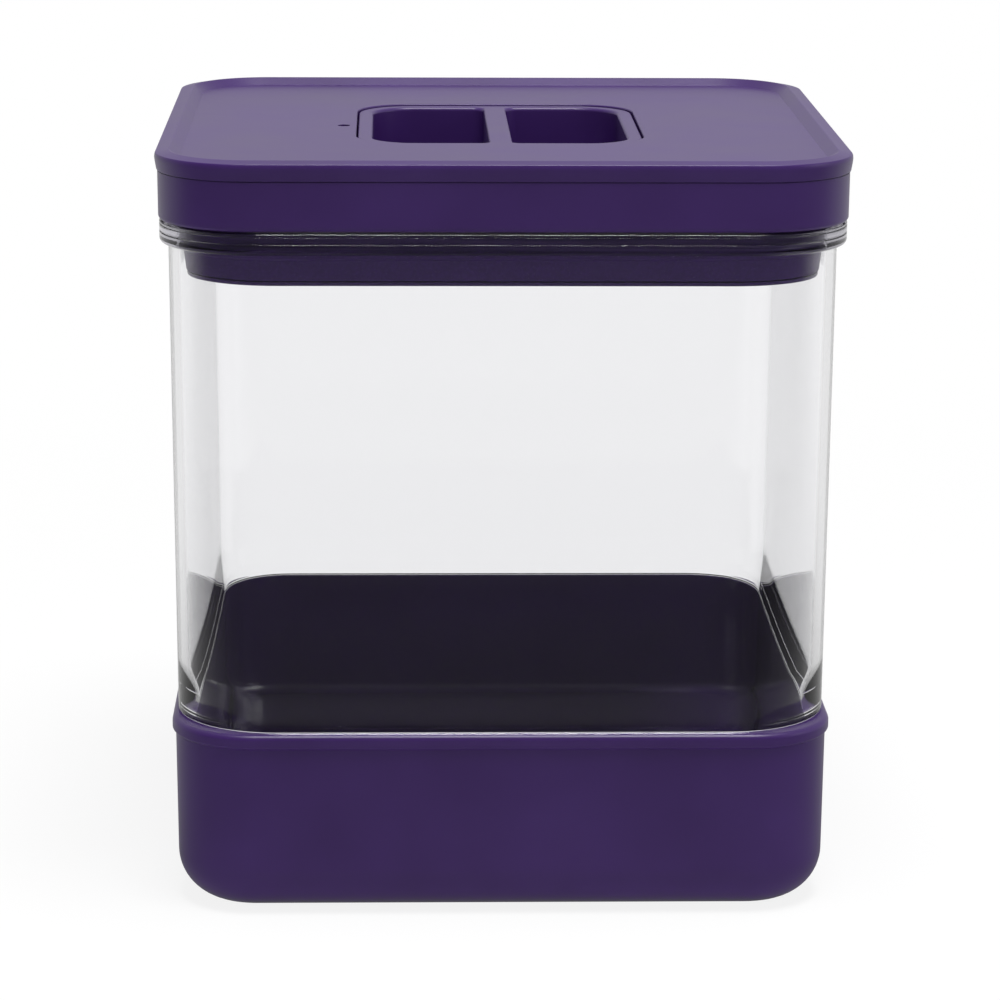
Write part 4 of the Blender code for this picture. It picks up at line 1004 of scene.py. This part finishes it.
plate = body_block("sealing_plate", PLATE_INSET, PLATE[0] + PLATE_EDGE, PLATE[1],
                   WALL_CORNER_RADIUS)
carry_cap(plate, -1, arc(PLATE_INSET + PLATE_EDGE, PLATE[0] + PLATE_EDGE, PLATE_EDGE, 0, -90,
                         SMALL_ARC_SEGMENTS))
spigot_bore = SPIGOT_INSET + SPIGOT_WALL
carry_cap(plate, 1, [(PLATE_INSET, PLATE[1]), (SPIGOT_INSET, PLATE[1]), (SPIGOT_INSET, SPIGOT_TOP),
                     (spigot_bore, SPIGOT_TOP), (spigot_bore, PLATE[1])])
plate_middle = sum(PLATE) / 2
for toward in (-1, 1):
    finger_x = toward * FINGER_PLACE
    rib = add_block("plate_rib", (finger_x - RISER_HALF[0] / 2, -LEVER_ROW, plate_middle),
                    (finger_x + RISER_HALF[0] / 2, LEVER_ROW, PLATE[1] + PLATE_RIB_HEIGHT))
    join_or_cut(plate, rib, "UNION")
for toward, row in lever_places:
    finger_x = toward * FINGER_PLACE
    riser = add_block("riser", (finger_x - RISER_HALF[0], row - RISER_HALF[1], plate_middle),
                      (finger_x + RISER_HALF[0], row + RISER_HALF[1], RISER_TOP))
    through = RISER_HALF[0] + OVERRUN
    eye = add_block("eye", (finger_x - through, row - EYE_HALF[0], FINGER_HEIGHT - EYE_HALF[1]),
                    (finger_x + through, row + EYE_HALF[0], FINGER_HEIGHT + EYE_HALF[1]))
    join_or_cut(riser, eye, "DIFFERENCE")
    join_or_cut(plate, riser, "UNION")
smooth(plate)
dress(plate, purple_inner, "seal_plate", "seal_plate")

# %% [markdown]
# ## Small parts inside the lid
# The levers, the latch, the pins, the springs and the screws sit inside the
# closed lid. Their CAD shapes are right, so they stay, and only their materials
# are exchanged.

# %% Better materials for the small parts
finishes = {"latch_housing": acetal, "latch_blade": acetal, "lever_": acetal, "lever_pin_": steel,
            "spring_": steel, "screw_": steel}
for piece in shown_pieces():
    for start, material in finishes.items():
        if piece.name.startswith(start):
            piece.data.materials.clear()
            piece.data.materials.append(material)
print("small parts dressed")

# %% [markdown]
# ## Floor, light and camera
# The photograph shows the container on pure white, lit softly from above with a
# bright backdrop behind it. The floor is white. For camera rays it also glows a
# little, and more so further away, so that it meets the white background without
# an edge and still keeps a soft shadow near the container. What the plastic
# mirrors of it is dim in front, as if a black cloth lay there, and bright behind.
# Light Path tells these rays apart. A ray that comes straight from the camera,
# or only passes through clear plastic, sees the white. One that has bounced off
# something on its way doesn't, or the inside of the jar would be flooded with
# light.

# %% The studio floor
FLOOR_SIZE = 8.0
SMOOTH = {"interpolation_type": "SMOOTHSTEP"}
GLOW = {"From Min": 0.1, "From Max": 0.7, "To Min": 0.86, "To Max": 1.0}
CLOTH = {"From Min": -0.3, "From Max": 0.3, "To Min": 0.11, "To Max": 0.8}


def sort_rays(tree):
    """Two 0 or 1 values: seen straight or through clear plastic, and mirrored."""
    rays = add_node(tree, "ShaderNodeLightPath")
    straight = add_node(tree, "ShaderNodeMath", {"operation": "MAXIMUM"},
                        links={0: rays.outputs["Is Camera Ray"],
                               1: rays.outputs["Is Transmission Ray"]})
    bounces = add_node(tree, "ShaderNodeMath", {"operation": "ADD"},
                       links={0: rays.outputs["Diffuse Depth"], 1: rays.outputs["Glossy Depth"]})
    seen = add_node(tree, "ShaderNodeMath", {"operation": "SUBTRACT", "use_clamp": True},
                    links={0: straight.outputs[0], 1: bounces.outputs[0]})
    mirrored = add_node(tree, "ShaderNodeMath", {"operation": "MAXIMUM", "use_clamp": True},
                        links={0: rays.outputs["Is Glossy Ray"], 1: rays.outputs["Glossy Depth"]})
    return seen.outputs[0], mirrored.outputs[0]


deselect_everything()
bpy.ops.mesh.primitive_plane_add(size=FLOOR_SIZE)
floor = bpy.context.object
floor.name = "studio_floor"
floor_white, tree, place = new_material("matt_white_floor_paint")
distance = add_node(tree, "ShaderNodeVectorMath", {"operation": "LENGTH"}, links={0: place})
reach = add_node(tree, "ShaderNodeMapRange", SMOOTH, GLOW, {"Value": distance.outputs["Value"]})
seen, mirrored = sort_rays(tree)
share = add_node(tree, "ShaderNodeMath", {"operation": "MULTIPLY"},
                 links={0: seen, 1: reach.outputs["Result"]})
axes = add_node(tree, "ShaderNodeSeparateXYZ", links={"Vector": place})
cloth = add_node(tree, "ShaderNodeMapRange", SMOOTH, CLOTH, {"Value": axes.outputs["Y"]})
paint = add_node(tree, "ShaderNodeBsdfDiffuse", values={"Color": linear("eeeeee")})
reflection = add_node(tree, "ShaderNodeEmission", links={"Strength": cloth.outputs["Result"]})
glow = add_node(tree, "ShaderNodeEmission", values={"Strength": 1.0})
lit = add_node(tree, "ShaderNodeMixShader",
               links={0: mirrored, 1: paint.outputs[0], 2: reflection.outputs[0]})
mix = add_node(tree, "ShaderNodeMixShader",
               links={0: share.outputs[0], 1: lit.outputs[0], 2: glow.outputs[0]})
add_node(tree, "ShaderNodeOutputMaterial", links={"Surface": mix.outputs[0]})
floor.data.materials.append(floor_white)
print("floor:", floor.name, "with", floor_white.name)

# %% [markdown]
# The world stands for the studio's walls. It is white wherever the camera sees
# it, directly or through the jar. What the glossy plastic mirrors is shaped by
# direction: bright behind, at the sides and above, a little more so on the
# right, and dim on the camera's side, as in a darkened room.

# %% The studio's walls
WHITE = linear("ffffff")
BACKWARDS = (0.25, 1.0, 0.0)
WALLS = {"From Min": -0.75, "From Max": 0.35, "To Min": 0.09, "To Max": 0.68}
SOFT_LIGHT = 0.36

world = bpy.data.worlds.new("studio_walls")
bpy.context.scene.world = world
world.use_nodes = True
tree = world.node_tree
tree.nodes.clear()
direction = add_node(tree, "ShaderNodeTexCoord").outputs["Generated"]
backwards = add_node(tree, "ShaderNodeVectorMath", {"operation": "DOT_PRODUCT"},
                     {1: BACKWARDS}, {0: direction})
depth = add_node(tree, "ShaderNodeMapRange", SMOOTH, WALLS, {"Value": backwards.outputs["Value"]})
seen, mirrored = sort_rays(tree)
white = add_node(tree, "ShaderNodeBackground", values={"Color": WHITE, "Strength": 1.0})
walls = add_node(tree, "ShaderNodeBackground", values={"Color": WHITE},
                 links={"Strength": depth.outputs["Result"]})
soft = add_node(tree, "ShaderNodeBackground", values={"Color": WHITE, "Strength": SOFT_LIGHT})
lit = add_node(tree, "ShaderNodeMixShader",
               links={0: mirrored, 1: soft.outputs[0], 2: walls.outputs[0]})
shown = add_node(tree, "ShaderNodeMixShader",
                 links={0: seen, 1: lit.outputs[0], 2: white.outputs[0]})
add_node(tree, "ShaderNodeOutputWorld", links={"Surface": shown.outputs[0]})
print("walls:", world.name)

# %% [markdown]
# Two lamps complete the light: a softbox above and a little in front, and a weak
# panel on the right that draws the brighter edge on the right-hand corner.

# %% Lamps
def add_panel(name, size, power, location, target):
    """A square area lamp that points at a target."""
    lamp = bpy.data.lights.new(name, "AREA")
    lamp.size = size
    lamp.energy = power
    holder = bpy.data.objects.new(name, lamp)
    bpy.context.collection.objects.link(holder)
    holder.location = location
    aim = Vector(target) - Vector(location)
    holder.rotation_euler = aim.to_track_quat("-Z", "Y").to_euler()
    print("lamp:", name, power, "W")


add_panel("softbox_above", size=0.7, power=28.0, location=(0.12, -0.3, 1.65), target=(0, 0, 0.1))
add_panel("panel_right", size=0.8, power=2.5, location=(1.6, -0.5, 0.7), target=(0, 0, 0.12))

# %% [markdown]
# The camera stands where the photograph was taken from: 13 degrees above the
# level, about a metre away, 3 cm to the left, turned back to the container by a
# degree and a half, and rolled by a third of a degree. A long lens frames it.

# %% Camera
CAMERA_PLACE = (-0.02929, -1.06017, 0.33974)
CAMERA_TURN = (76.880, -0.323, -1.575)
CAMERA_LENS = 140.0
SENSOR_WIDTH = 36.0

lens = bpy.data.cameras.new("studio_camera")
lens.lens = CAMERA_LENS
lens.sensor_width = SENSOR_WIDTH
camera = bpy.data.objects.new("studio_camera", lens)
bpy.context.collection.objects.link(camera)
camera.location = CAMERA_PLACE
camera.rotation_euler = [math.radians(angle) for angle in CAMERA_TURN]
bpy.context.scene.camera = camera
bpy.context.scene.view_settings.view_transform = "Standard"
print("camera:", camera.name, "lens", lens.lens)
